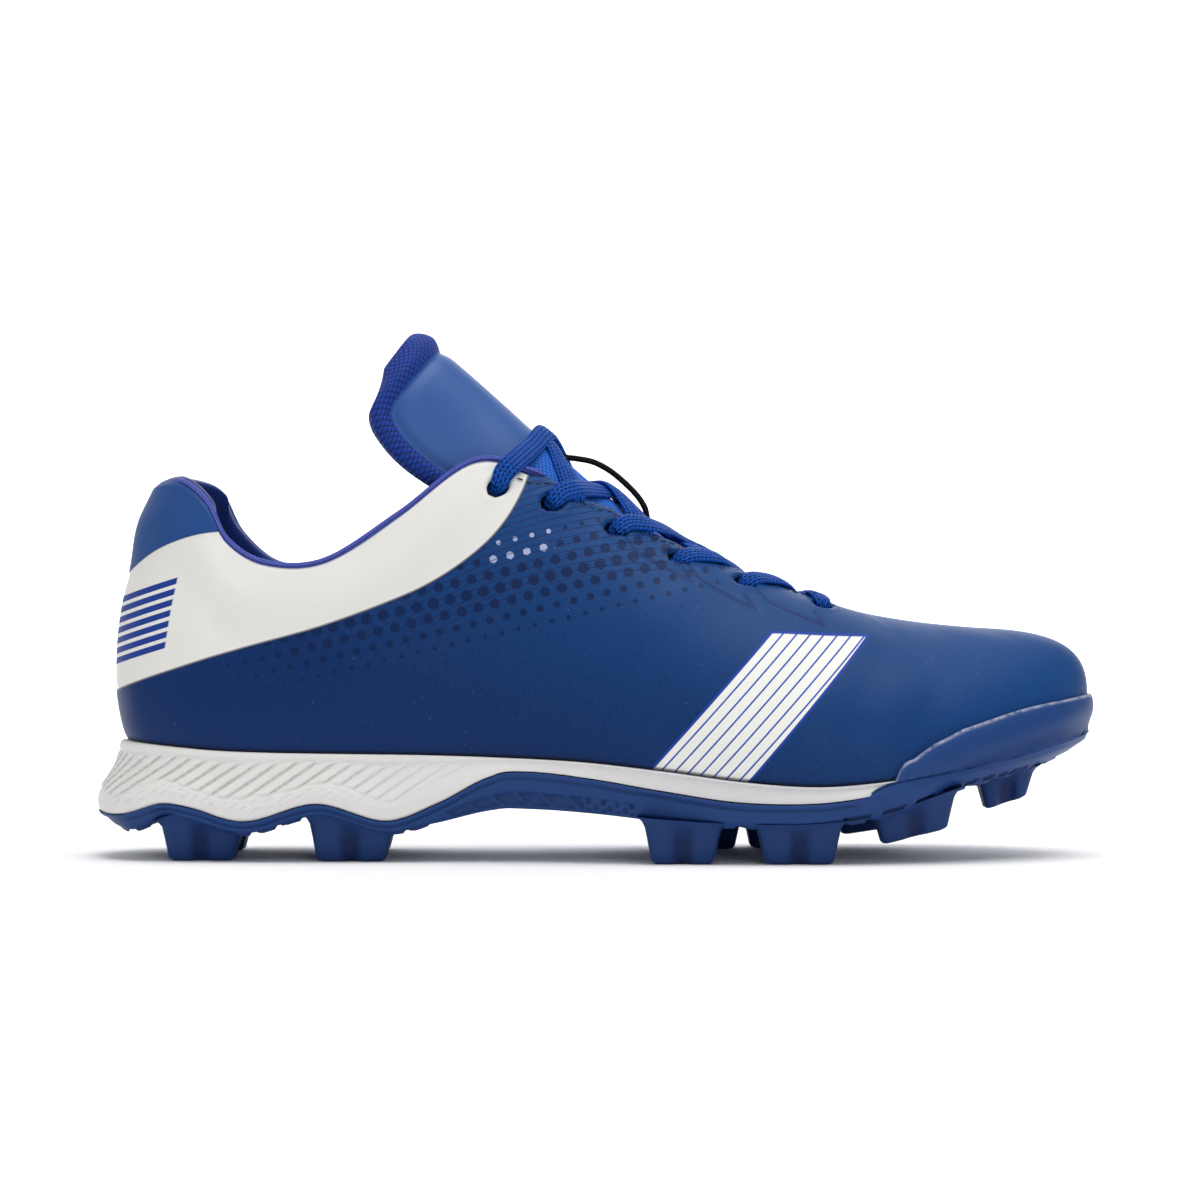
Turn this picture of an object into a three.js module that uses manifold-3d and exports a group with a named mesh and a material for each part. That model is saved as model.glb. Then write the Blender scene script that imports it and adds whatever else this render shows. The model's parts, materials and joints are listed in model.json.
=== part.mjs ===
// A right-foot moulded baseball cleat, built as a shoemaker builds it: a studded outsole with a toe bumper,
// a foam midsole in its tray, a hollow upper with a padded collar, a tongue, an insole, flat laces and a thin
// lace keeper. Millimetres, +X to the toe, +Y to the inner side of the foot, +Z up, floor at Z = 0.
import * as THREE from "three";
import { mergeVertices } from "three/addons/utils/BufferGeometryUtils.js";
import Module from "manifold-3d";

// Driving dimensions
const LENGTH = 300; // heel flare to toe bumper
const BALL_WIDTH = 98; // across the upper's lower edge at the ball
const HEEL_SEAT = 34; // height of the upper's lower edge at the heel
const COLLAR_RISE = 80; // heel seat to the top of the heel
const WALL = 2.2; // upper: coated textile, foam and lining
const COLLAR_PAD = 3.6; // foam that thickens the wall towards the collar edge
const FIT_GAP = 0.3; // between pieces that touch
const TRAY_GAP = 0.5; // midsole inside the outsole's tray, out of sight
const WELT = 1.6; // midsole top edge beyond the upper
const RIM = 2.4; // outsole side wall and toe bumper
const RIM_TOP = 1.8; // bumper thickness at its top edge
const RIM_LAP = 1; // bumper runs this far down into the outsole's side wall
const PLATE = 2.6; // outsole floor
const STUD_DRAFT = 2.6; // a stud face leans this much from root to tip
const STUD_ROOT = 4; // a stud is drawn this far up past the plate's lower face, then the tray is cut out
const STUD_GROOVE = 3.2; // radius of the channel in a stud's outer face
const STUD_CLIP = 2.4; // cut off a stud's corners at its tip
const ROOT_CLIP = 3.2; // and at its root
const RIB_DEPTH = 0.9; // grooves in the midsole side
const INSOLE = 4; // insole thickness
const EYELET_RADIUS = 2.3;
const EYELET_INSET = 8; // eyelet centre from the throat edge
const TONGUE_THICKNESS = 5;
const TONGUE_ROLL = 8; // padded roll along the tongue's free edge
const LACE_WIDTH = 6.5;
const LACE_THICKNESS = 1.8;
const LACE_LIFT = 0.5; // lace above what it lies on
const KEEPER_RADIUS = 0.8;

// Samples
const PER_SECTION = 2; // stations between two sections
const SOLE_FINE = 7; // sections before this one have twice as many in the sole, for its waves
const RIB_STEPS = 10; // points up a rib of the upper
const TONGUE_STEPS = 8; // points across the tongue
const BAND_STEPS = 4; // points up the toe bumper
const LACE_STEPS = 7; // along a lace strap
const CORD_STEPS = 24; // along the keeper cord
const CORD_SIDES = 6;
const EYELET_SIDES = 7;
const GROOVE_SIDES = 8;

// A table is a list of rows with named columns.
function table(columns, rows) {
  const names = columns.split(" ");
  return rows.map((row) => Object.fromEntries(names.map((name, i) => [name, row[i]])));
}

// Sections of the upper from the heel's centre line to the toe's. Shares of LENGTH: at (lower edge), topAt
// (collar, throat or ridge). Shares of BALL_WIDTH: outer and inner (lower edge each side), gap (half the
// opening at its top edge), shift (its middle), flare and shoulder (how far the rib's two ends swing out). Share of
// HEEL_SEAT: seat. Shares of COLLAR_RISE: top (above the seat), lift (inner side higher), rise and drop (how
// far the rib's two ends run up and down).
const SECTIONS = table(
  "at outer inner seat topAt gap shift top lift flare rise shoulder drop",
  [
    [0.03, 0, 0, 1.03, 0.058, 0, 0, 0.955, 0, 0.083, 0.284, 0.1, 0.31],
    [0.047, 0.194, 0.194, 1.02, 0.085, 0.15, 0, 0.968, 0, 0.075, 0.272, 0.083, 0.285],
    [0.093, 0.301, 0.296, 0.985, 0.115, 0.24, 0, 0.9, 0.035, 0.056, 0.245, 0.062, 0.255],
    [0.13, 0.328, 0.318, 0.96, 0.138, 0.28, 0, 0.765, 0.03, 0.048, 0.225, 0.045, 0.225],
    [0.175, 0.342, 0.327, 0.945, 0.177, 0.304, 0, 0.69, 0, 0.043, 0.21, 0.04, 0.21],
    [0.247, 0.352, 0.321, 0.935, 0.235, 0.32, 0, 0.705, 0, 0.043, 0.21, 0.045, 0.21],
    [0.327, 0.347, 0.301, 0.925, 0.307, 0.312, 0, 0.88, 0, 0.041, 0.25, 0.065, 0.275],
    [0.407, 0.367, 0.296, 0.905, 0.38, 0.28, 0, 1.085, 0, 0.041, 0.3, 0.09, 0.275],
    [0.487, 0.408, 0.337, 0.87, 0.442, 0.23, 0, 1.06, 0, 0.041, 0.34, 0.12, 0.175],
    [0.567, 0.459, 0.398, 0.795, 0.513, 0.175, 0, 0.97, 0, 0.046, 0.34, 0.143, 0.11],
    [0.647, 0.495, 0.454, 0.705, 0.593, 0.135, 0, 0.852, 0, 0.05, 0.3, 0.173, 0.075],
    [0.72, 0.5, 0.485, 0.668, 0.667, 0.1, 0.005, 0.757, 0, 0.056, 0.275, 0.204, 0.05],
    [0.793, 0.464, 0.485, 0.72, 0.727, 0.066, 0.01, 0.652, 0, 0.056, 0.25, 0.214, 0.02],
    [0.86, 0.388, 0.444, 0.81, 0.762, 0, 0.015, 0.571, 0, 0.056, 0.238, 0.245, 0],
    [0.922, 0.276, 0.357, 0.925, 0.807, 0, 0.025, 0.49, 0, 0.05, 0.225, 0.265, 0],
    [0.966, 0.143, 0.235, 1.03, 0.847, 0, 0.035, 0.425, 0, 0.046, 0.225, 0.335, 0],
    [0.991, -0.05, 0.05, 1.1, 0.873, 0, 0.045, 0.386, 0, 0.04, 0.25, 0.385, 0],
  ],
);
const TOE = SECTIONS.length - 1;
const THROAT_FOOT = SECTIONS.findLastIndex((row) => row.gap > 0) + 1; // section where the throat closes
const HIGHEST = Math.max(...SECTIONS.map((row) => row.top));
const COLLAR_FRONT = SECTIONS.findIndex((row) => row.top === HIGHEST); // where the collar ends in front

// Sole side, by at (share of LENGTH). Shares of HEEL_SEAT: foam (midsole's lower edge) and plate (outsole's).
// Shares of BALL_WIDTH, outwards from the upper's lower edge: bulge (at the foam edge), tread (at the plate).
const SOLE_LINES = table("at foam plate bulge tread", [
  [0, 0.5, 0.42, 0.1, 0.035],
  [0.045, 0.39, 0.26, 0.085, 0.04],
  [0.088, 0.5, 0.385, 0.062, 0.034],
  [0.157, 0.35, 0.25, 0.05, 0.03],
  [0.228, 0.5, 0.4, 0.046, 0.026],
  [0.295, 0.355, 0.26, 0.042, 0.022],
  [0.345, 0.5, 0.34, 0.03, 0.01],
  [0.4, 0.74, 0.45, 0.024, 0],
  [0.43, 0.78, 0.46, 0.022, -0.004],
  [0.49, 0.73, 0.43, 0.022, -0.002],
  [0.56, 0.63, 0.37, 0.022, 0.004],
  [0.64, 0.53, 0.33, 0.024, 0.006],
  [0.72, 0.525, 0.335, 0.026, 0.006],
  [0.787, 0.62, 0.43, 0.028, 0.002],
  [0.86, 0.77, 0.64, 0.022, -0.012],
  [0.92, 0.87, 0.757, 0.014, -0.024],
  [0.99, 1.03, 0.92, 0.012, -0.04],
]);

// Top edge of the toe bumper by section: -1 is the foam line, 0 the upper's lower edge, more is a rib's share.
const BUMPER_LINE = table("section height", [
  [11.5, -0.8],
  [12, 0.05],
  [12.5, 0.15],
  [13, 0.185],
  [14, 0.232],
  [15, 0.235],
  [16, 0.205],
]);

// Studs. Shares: at of LENGTH, side of BALL_WIDTH (outer side negative), lift of HEEL_SEAT (tip above the
// floor). tilt is the tip's rise towards the toe. Tip length and width in mm.
const STUDS = table("at side long wide lift tilt", [
  [0.112, -0.235, 19, 11, 0, 0],
  [0.108, 0.235, 19, 11, 0, 0],
  [0.26, -0.27, 20, 11, 0, 0],
  [0.255, 0.245, 20, 11, 0, 0],
  [0.585, -0.4, 18, 11, 0, 0],
  [0.615, 0.34, 17, 11, 0, 0],
  [0.698, -0.41, 20, 11, 0, 0],
  [0.692, 0.395, 19, 11, 0, 0],
  [0.812, -0.335, 19, 11, 0.155, 0.25],
  [0.785, 0.375, 18, 11, 0.12, 0.15],
  [0.908, -0.12, 12, 11, 0.425, 0.33],
  [0.917, 0.2, 12, 11, 0.42, 0.33],
]);

// Middle of the tongue's upper face from its buried end to its tip. Shares: at of LENGTH, high of HEEL_SEAT +
// COLLAR_RISE, half (width) and droop (how far the edges curl back) of BALL_WIDTH.
const TONGUE_LINE = table("at high half droop", [
  [0.765, 0.575, 0.13, 0.04],
  [0.72, 0.635, 0.18, 0.07],
  [0.66, 0.7, 0.22, 0.1],
  [0.59, 0.805, 0.25, 0.14],
  [0.51, 0.955, 0.265, 0.2],
  [0.447, 1.1, 0.252, 0.28],
  [0.4, 1.212, 0.24, 0.33],
  [0.362, 1.3, 0.235, 0.325],
  [0.334, 1.36, 0.22, 0.275],
  [0.318, 1.39, 0.155, 0.13],
]);

// Eyelet pairs by section, from the collar to the throat foot.
const EYELETS = [7.55, 8.5, 9.4, 10.3, 11.15, 12.1];

const wasm = await Module();
wasm.setup();

const plan = (at) => (at - 0.5) * LENGTH;
const blend = (a, b, t) => a + (b - a) * t;
const smooth = (t) => THREE.MathUtils.smoothstep(t, 0, 1);

// Uniform Catmull-Rom through a column. Its ends run straight on, or else mirror another column, with sign -1
// for widths that change side there.
function spline(values, u, mirror = null, sign = 1) {
  const last = values.length - 1;
  const beyond = (end, next) => (mirror ? sign * mirror[next] : 2 * values[end] - values[next]);
  const pick = (i) => (i < 0 ? beyond(0, 1) : i > last ? beyond(last, last - 1) : values[i]);
  const i = THREE.MathUtils.clamp(Math.floor(u), 0, last - 1);
  const t = u - i;
  const [a, b, c, d] = [pick(i - 1), pick(i), pick(i + 1), pick(i + 2)];
  return b + 0.5 * t * (c - a + t * (2 * a - 5 * b + 4 * c - d + t * (3 * (b - c) + d - a)));
}

// Catmull-Rom in a table whose first column is the place, clamped at both ends.
function lookUp(rows, key, name, place) {
  const last = rows.length - 1;
  let i = 0;
  while (i < last - 1 && rows[i + 1][key] < place) i += 1;
  const t = THREE.MathUtils.clamp((place - rows[i][key]) / (rows[i + 1][key] - rows[i][key]), 0, 1);
  return spline(rows.map((row) => row[name]), i + t);
}

const columns = Object.fromEntries(
  Object.keys(SECTIONS[0]).map((name) => [name, SECTIONS.map((row) => row[name])]),
);
const section = (name, u) => spline(columns[name], u, columns[name]);

// Ring position k runs from the heel (0) along the outer side to the toe (TOE) and back along the inner side.
const RING = 2 * TOE;
function ringSide(k) {
  const around = ((k % RING) + RING) % RING;
  return around <= TOE ? { u: around, side: -1 } : { u: RING - around, side: 1 };
}

// Lower edge of the upper.
function featherPoint(k) {
  const { u, side } = ringSide(k);
  const [own, other] = side < 0 ? ["outer", "inner"] : ["inner", "outer"];
  const half = spline(columns[own], u, columns[other], -1);
  return new THREE.Vector3(plan(section("at", u)), side * half * BALL_WIDTH, section("seat", u) * HEEL_SEAT);
}

// Level direction out of the shoe at the lower edge.
function outward(k) {
  const step = 0.05;
  const along = featherPoint(k + step).sub(featherPoint(k - step));
  return new THREE.Vector3(along.y, -along.x, 0).normalize();
}

// Half the opening's width: it ends as a half ellipse at the throat foot.
function openHalf(u) {
  if (u >= THROAT_FOOT) return 0;
  const last = THROAT_FOOT - 1;
  if (u > last) return columns.gap[last] * BALL_WIDTH * Math.sqrt(1 - (u - last) ** 2);
  return spline(columns.gap, u, columns.gap, -1) * BALL_WIDTH;
}

// Top of a rib: collar edge, throat edge or the ridge of the toe.
function topPoint(k) {
  const { u, side } = ringSide(k);
  const lift = side > 0 ? section("lift", u) : 0;
  const z = section("seat", u) * HEEL_SEAT + (section("top", u) + lift) * COLLAR_RISE;
  const y = section("shift", u) * BALL_WIDTH + side * openHalf(u);
  return new THREE.Vector3(plan(section("topAt", u)), y, z);
}

// Point of the upper's outer face: v runs up the rib from the lower edge (0) to the top (1).
function upperPoint(k, v) {
  const { u } = ringSide(k);
  const out = outward(k);
  const [foot, head] = [featherPoint(k), topPoint(k)];
  const low = foot.clone().addScaledVector(out, section("flare", u) * BALL_WIDTH);
  low.z += section("rise", u) * COLLAR_RISE;
  const high = head.clone().addScaledVector(out, section("shoulder", u) * BALL_WIDTH);
  high.z -= section("drop", u) * COLLAR_RISE;
  return new THREE.CubicBezierCurve3(foot, low, high, head).getPoint(v);
}

// Outward normal of that face; on the ridge of the toe it is square to the ridge.
function upperNormal(k, v) {
  const [dk, dv] = [0.06, 0.02];
  const { u } = ringSide(k);
  if (v >= 1 && u >= THROAT_FOOT - 0.2) {
    const slope = topPoint(Math.min(u + dk, TOE)).sub(topPoint(u - dk));
    return new THREE.Vector3(-slope.z, 0, slope.x).normalize();
  }
  const [below, above] = [Math.max(v - dv, 0), Math.min(v + dv, 1)];
  const rise = upperPoint(k, above).sub(upperPoint(k, below));
  return upperPoint(k + dk, v).sub(upperPoint(k - dk, v)).cross(rise).normalize();
}

// Wall thickness: padded towards the collar edge, thin along the throat and in the toe.
function wallAt(u, v) {
  const collar = 1 - smooth((u - COLLAR_FRONT + 1) / 1.4);
  return WALL + COLLAR_PAD * collar * smooth((v - 0.45) / 0.4);
}

// A triangle list that grows by rings, strips and caps and becomes one manifold solid.
class Shell {
  constructor() {
    this.positions = [];
    this.triangles = [];
  }
  point(p) {
    this.positions.push(p.x, p.y, p.z);
    return this.positions.length / 3 - 1;
  }
  quad(a, b, c, d) {
    this.triangles.push(a, b, c, a, c, d);
  }
  // Rows of points that close on themselves, each row the same length.
  tube(rows) {
    for (let r = 0; r + 1 < rows.length; r += 1) {
      const n = rows[r].length;
      for (let i = 0; i < n; i += 1) {
        const j = (i + 1) % n;
        this.quad(rows[r][i], rows[r][j], rows[r + 1][j], rows[r + 1][i]);
      }
    }
  }
  geometry() {
    const geometry = new THREE.BufferGeometry();
    geometry.setAttribute("position", new THREE.Float32BufferAttribute(this.positions, 3));
    geometry.setIndex(this.triangles);
    return geometry;
  }
  solid() {
    return toSolid(this.geometry());
  }
}

function toSolid(geometry) {
  const bare = geometry.clone();
  bare.deleteAttribute("normal");
  bare.deleteAttribute("uv");
  const merged = mergeVertices(bare, 1e-4);
  const index = merged.index.array;
  const kept = [];
  for (let i = 0; i < index.length; i += 3) {
    const [a, b, c] = [index[i], index[i + 1], index[i + 2]];
    if (a !== b && b !== c && a !== c) kept.push(a, b, c);
  }
  const mesh = new wasm.Mesh({
    numProp: 3,
    vertProperties: new Float32Array(merged.attributes.position.array),
    triVerts: new Uint32Array(kept),
  });
  const solid = new wasm.Manifold(mesh);
  if (solid.volume() < 0) throw new Error("a solid is inside out");
  return solid;
}

function toMesh(name, solid, color) {
  const { vertProperties, triVerts, numProp } = solid.getMesh();
  const positions = [];
  for (let i = 0; i < vertProperties.length; i += numProp) {
    positions.push(vertProperties[i], vertProperties[i + 1], vertProperties[i + 2]);
  }
  const geometry = new THREE.BufferGeometry();
  geometry.setAttribute("position", new THREE.Float32BufferAttribute(positions, 3));
  geometry.setIndex([...triVerts]);
  geometry.computeVertexNormals();
  const mesh = new THREE.Mesh(geometry, new THREE.MeshStandardMaterial({ color, roughness: 0.6 }));
  mesh.name = name;
  return mesh;
}

const STATIONS = RING * PER_SECTION;
const ringPlaces = Array.from({ length: STATIONS }, (_, i) => i / PER_SECTION);
const solePlaces = Array.from({ length: 2 * STATIONS }, (_, i) => i / PER_SECTION / 2).filter(
  (k) => ringSide(k).u < SOLE_FINE || Number.isInteger(k * PER_SECTION),
);

// Ladder of quads across a closed ring, so that a level face is closed along the shoe's length.
function ladder(shell, ring, up) {
  const n = ring.length;
  for (let i = 0; i < n / 2; i += 1) {
    const [a, b, c, d] = [ring[i], ring[i + 1], ring[(n - i - 1) % n], ring[(n - i) % n]];
    if (up) shell.quad(a, b, c, d);
    else shell.quad(d, c, b, a);
  }
}

// The upper: an outer face, an inner face a wall's thickness inside it, and the edges that join them.
function upper() {
  const shell = new Shell();
  const faces = [[], []];
  for (let j = 0; j <= RIB_STEPS; j += 1) {
    const v = j / RIB_STEPS;
    const [outerRow, innerRow] = [[], []];
    for (const k of ringPlaces) {
      const { u } = ringSide(k);
      const p = upperPoint(k, v);
      if (j === 0) p.z += FIT_GAP;
      const inwards = upperNormal(k, v);
      if (j === 0 || (j === RIB_STEPS && u < THROAT_FOOT - 1)) inwards.setZ(0).normalize();
      outerRow.push(shell.point(p));
      innerRow.push(shell.point(p.clone().addScaledVector(inwards, -wallAt(u, v))));
    }
    faces[0].push(outerRow);
    faces[1].push(innerRow);
  }
  shell.tube(faces[0]);
  shell.tube([...faces[1]].reverse());
  shell.tube([faces[1][0], faces[0][0]]);
  const [outerTop, innerTop] = [faces[0][RIB_STEPS], faces[1][RIB_STEPS]];
  for (let i = 0; i < STATIONS; i += 1) {
    const j = (i + 1) % STATIONS;
    const open = Math.min(ringSide(ringPlaces[i]).u, ringSide(i / PER_SECTION + 1 / PER_SECTION).u);
    if (open < THROAT_FOOT) shell.quad(outerTop[i], outerTop[j], innerTop[j], innerTop[i]);
  }
  let solid = shell.solid();
  for (const u of EYELETS) {
    for (const side of [-1, 1]) solid = solid.subtract(eyeletCutter(u, side));
  }
  return solid;
}

// Rib share at a distance below the throat edge.
function insetShare(k, distance) {
  let v = 1;
  while (v > 0 && upperPoint(k, v).distanceTo(topPoint(k)) < distance) v -= 0.005;
  return v;
}

const ringPlace = (u, side) => (side < 0 ? u : RING - u);

function eyeletCutter(u, side) {
  const k = ringPlace(u, side);
  const v = insetShare(k, EYELET_INSET);
  const hole = new THREE.CylinderGeometry(EYELET_RADIUS, EYELET_RADIUS, 6 * WALL, EYELET_SIDES);
  const turn = new THREE.Quaternion().setFromUnitVectors(new THREE.Vector3(0, 1, 0), upperNormal(k, v));
  hole.applyQuaternion(turn);
  const centre = upperPoint(k, v);
  return toSolid(hole.translate(centre.x, centre.y, centre.z));
}

// A point of the sole's side: off millimetres out from the upper's lower edge, at height z.
function sidePoint(k, off, z) {
  const p = featherPoint(k).addScaledVector(outward(k), off);
  return p.setZ(z);
}

function soleLine(k) {
  const foot = featherPoint(k);
  const at = foot.x / LENGTH + 0.5;
  const value = (name) => lookUp(SOLE_LINES, "at", name, at);
  return {
    seat: foot.z,
    foam: value("foam") * HEEL_SEAT,
    plate: value("plate") * HEEL_SEAT,
    bulge: value("bulge") * BALL_WIDTH,
    tread: value("tread") * BALL_WIDTH,
  };
}

// A closed body from rows round the shoe, the first closed by a ladder below, the last by one above.
function stack(profile, places = solePlaces) {
  const shell = new Shell();
  const rows = profile.map((place) => places.map((k) => shell.point(place(k, soleLine(k)))));
  ladder(shell, rows[0], false);
  shell.tube(rows);
  ladder(shell, rows[rows.length - 1], true);
  return shell.solid();
}

const TRAY_LEAN = 0.6 * RIM; // tray wall's foot inside the tread edge

// The midsole's side from its foam line (0) to the upper's lower edge (1), share by share: how much of the
// bulge stands out there.
const FOAM_SIDE = table("height bulge", [
  [0, 1],
  [0.25, 0.96],
  [0.65, 0.3],
  [1, 0],
]);
function foamPoint(k, s, height, off = 0) {
  const bulge = lookUp(FOAM_SIDE, "height", "bulge", height);
  return sidePoint(k, blend(WELT, s.bulge, bulge) + off, blend(s.foam, s.seat, height));
}

// Slanted grooves in the midsole's side, from the heel to the waist.
const RIBS = { first: 0.1, last: 6.6, pitch: 0.7, half: 0.075, lean: 0.5, low: 0.3, high: 0.86, steps: 2 };
function ribGroove(k, along) {
  const shell = new Shell();
  const rings = [];
  for (let i = 0; i <= RIBS.steps; i += 1) {
    const t = i / RIBS.steps;
    const place = k + along * RIBS.lean * t;
    const height = blend(RIBS.low, RIBS.high, t);
    const at = (kk, off) => shell.point(foamPoint(kk, soleLine(kk), height, off));
    rings.push([at(place - RIBS.half, RIB_DEPTH), at(place + RIBS.half, RIB_DEPTH), at(place, -RIB_DEPTH)]);
  }
  shell.tube(rings);
  shell.triangles.push(rings[0][0], rings[0][2], rings[0][1]);
  const last = rings[RIBS.steps];
  shell.triangles.push(last[0], last[1], last[2]);
  return shell.solid();
}

function midsole() {
  let body = stack([
    (k, s) => sidePoint(k, s.tread - TRAY_LEAN - TRAY_GAP, s.plate + PLATE + TRAY_GAP),
    (k, s) => sidePoint(k, s.bulge - RIM - TRAY_GAP, s.foam + FIT_GAP),
    (k, s) => sidePoint(k, s.bulge, s.foam + FIT_GAP),
    ...FOAM_SIDE.slice(1).map((row) => (k, s) => foamPoint(k, s, row.height)),
  ]);
  for (let u = RIBS.first; u < RIBS.last; u += RIBS.pitch) {
    body = body.subtract(ribGroove(u, 1)).subtract(ribGroove(-u, -1));
  }
  return body.subtract(bumper(FIT_GAP));
}

// The toe bumper: a band over the midsole's side and the upper's lower edge. With room above 0 it is the
// space that the midsole leaves free for it.
function bumper(room) {
  const shell = new Shell();
  const start = BUMPER_LINE[0].section;
  const count = 2 * (TOE - start) * PER_SECTION;
  const rings = [];
  for (let i = 0; i <= count; i += 1) {
    const end = i === 0 ? -1 : i === count ? 1 : 0;
    const k = start + i / PER_SECTION + 0.3 * room * end;
    const height = lookUp(BUMPER_LINE, "section", "height", ringSide(k).u);
    const s = soleLine(k);
    const skin = (q, off) => {
      if (q > 0) return upperPoint(k, q).addScaledVector(upperNormal(k, q), off);
      const reach = blend(off, off - FIT_GAP - RIM + s.bulge, -q);
      const p = sidePoint(k, reach, blend(s.seat, s.foam - RIM_LAP - room, -q));
      return q === 0 ? p.setZ(s.seat + FIT_GAP) : p;
    };
    const places = Array.from({ length: BAND_STEPS + 1 }, (_, j) => {
      if (height <= 0) return blend(-1, height, j / BAND_STEPS);
      return j === 0 ? -1 : blend(0, height, (j - 1) / (BAND_STEPS - 1));
    });
    const outer = places.map((q, j) => skin(q, FIT_GAP + blend(RIM, RIM_TOP, j / BAND_STEPS) + 3 * room));
    const inner = places.map((q) => skin(q, FIT_GAP - room));
    rings.push([...outer, ...inner.reverse()].map((p) => shell.point(p)));
  }
  shell.tube(rings.map((ring) => [...ring].reverse()));
  const n = rings[0].length;
  for (let j = 0; j < BAND_STEPS; j += 1) {
    const [a, b, c, d] = [j, j + 1, n - 2 - j, n - 1 - j];
    shell.quad(rings[0][a], rings[0][b], rings[0][c], rings[0][d]);
    shell.quad(rings[count][d], rings[count][c], rings[count][b], rings[count][a]);
  }
  return shell.solid();
}

// Eight corners of a rectangle with clipped corners.
function clipped(halfLong, halfWide, clip) {
  const corners = [[1, 1], [-1, 1], [-1, -1], [1, -1]];
  return corners.flatMap(([x, y], i) => {
    const one = [x * (halfLong - clip), y * halfWide];
    const two = [x * halfLong, y * (halfWide - clip)];
    return i % 2 ? [one, two] : [two, one];
  });
}

function stud({ at, side, long, wide, lift, tilt }) {
  const shell = new Shell();
  const [x0, y0] = [plan(at), side * BALL_WIDTH];
  const plateAt = (x) => lookUp(SOLE_LINES, "at", "plate", x / LENGTH + 0.5) * HEEL_SEAT;
  const tip = clipped(long / 2, wide / 2, STUD_CLIP).map(([x, y]) =>
    shell.point(new THREE.Vector3(x0 + x, y0 + y, lift * HEEL_SEAT + tilt * (x + long / 2))));
  const root = clipped(long / 2 + STUD_DRAFT, wide / 2 + STUD_DRAFT, ROOT_CLIP).map(([x, y]) =>
    shell.point(new THREE.Vector3(x0 + x, y0 + y, plateAt(x0 + x) + STUD_ROOT)));
  shell.tube([tip, root]);
  for (let i = 1; i + 1 < tip.length; i += 1) {
    shell.triangles.push(tip[0], tip[i + 1], tip[i], root[0], root[i], root[i + 1]);
  }
  const top = plateAt(x0) - STUD_GROOVE / 2;
  const groove = new THREE.CylinderGeometry(STUD_GROOVE, STUD_GROOVE * 1.15, 2 * top, GROOVE_SIDES);
  groove.rotateX(Math.PI / 2).translate(x0, y0 + Math.sign(side) * (wide / 2 + STUD_GROOVE * 0.75), 0);
  return shell.solid().subtract(toSolid(groove));
}

function outsole() {
  const trayWall = [
    (k, s) => sidePoint(k, s.tread - TRAY_LEAN, s.plate + PLATE),
    (k, s) => sidePoint(k, s.bulge - RIM, s.foam),
  ];
  let body = stack([
    (k, s) => sidePoint(k, s.tread - 1.5, s.plate),
    (k, s) => sidePoint(k, s.tread, s.plate + 1),
    (k, s) => sidePoint(k, s.bulge, s.foam),
    trayWall[1],
    trayWall[0],
  ]);
  const tray = stack([...trayWall, (k, s) => sidePoint(k, s.bulge - RIM, s.foam + HEEL_SEAT)]);
  for (const row of STUDS) body = body.add(stud(row).subtract(tray));
  return body.add(bumper(0));
}

function insole() {
  const inset = -(WALL + FIT_GAP);
  const levels = [FIT_GAP, FIT_GAP + INSOLE];
  return stack(levels.map((z) => (k, s) => sidePoint(k, inset, s.seat + z)), ringPlaces);
}

// Middle line of the tongue, with its width and curl, at t from its buried end (0) to its tip (1).
function tongueFrame(t) {
  const place = t * (TONGUE_LINE.length - 1);
  const value = (name, p = place) => spline(TONGUE_LINE.map((row) => row[name]), p);
  const centre = (p) =>
    new THREE.Vector3(plan(value("at", p)), 0, value("high", p) * (HEEL_SEAT + COLLAR_RISE));
  const along = centre(place + 0.01).sub(centre(place - 0.01)).normalize();
  const normal = new THREE.Vector3(along.z, 0, -along.x);
  const [half, droop] = [value("half") * BALL_WIDTH, value("droop") * BALL_WIDTH];
  return { centre: centre(place), normal, half, droop };
}

// Point of the tongue: w runs across (-1 to 1), depth is measured in from its upper face.
const CURL = 1.25; // angle that the tongue's section turns each side of its middle
function tonguePoint(t, w, depth) {
  const { centre, normal, half, droop } = tongueFrame(t);
  const back = (1 - Math.cos(CURL * w)) / (1 - Math.cos(CURL));
  const p = centre.clone().addScaledVector(normal, -droop * back);
  p.y += (half * Math.sin(CURL * w)) / Math.sin(CURL);
  const lean = Math.atan2(droop * 2 * w * back ** 0.5, half);
  const inwards = normal.clone().multiplyScalar(-Math.cos(lean)).setY(-Math.sin(lean));
  return p.addScaledVector(inwards, depth);
}

function tongue() {
  const shell = new Shell();
  const count = 2 * (TONGUE_LINE.length - 1);
  const rings = [];
  for (let i = 0; i <= count; i += 1) {
    const t = i / count;
    const free = smooth((t - 0.5) / 0.3);
    const full = Math.sqrt(Math.max(0.1, Math.min(1, t * 8, (1 - t) * 8 + 0.1)));
    const upperSide = [];
    const underSide = [];
    for (let j = 0; j <= TONGUE_STEPS; j += 1) {
      const w = (2 * j) / TONGUE_STEPS - 1;
      const roll = free * smooth((Math.abs(w) - 0.4) / 0.4);
      const rolled = blend(TONGUE_THICKNESS, TONGUE_ROLL, roll);
      const thick = rolled * full * Math.sqrt(1 - 0.8 * w ** 8);
      upperSide.push(shell.point(tonguePoint(t, w, (rolled - thick) / 2)));
      underSide.push(shell.point(tonguePoint(t, w, (rolled + thick) / 2)));
    }
    rings.push([...upperSide, ...underSide.reverse()]);
  }
  shell.tube(rings);
  for (let j = 0; j < TONGUE_STEPS; j += 1) {
    const [a, b, c, d] = [j, j + 1, 2 * TONGUE_STEPS - j, 2 * TONGUE_STEPS + 1 - j];
    shell.quad(rings[0][d], rings[0][c], rings[0][b], rings[0][a]);
    shell.quad(rings[count][a], rings[count][b], rings[count][c], rings[count][d]);
  }
  return shell.solid();
}

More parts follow.
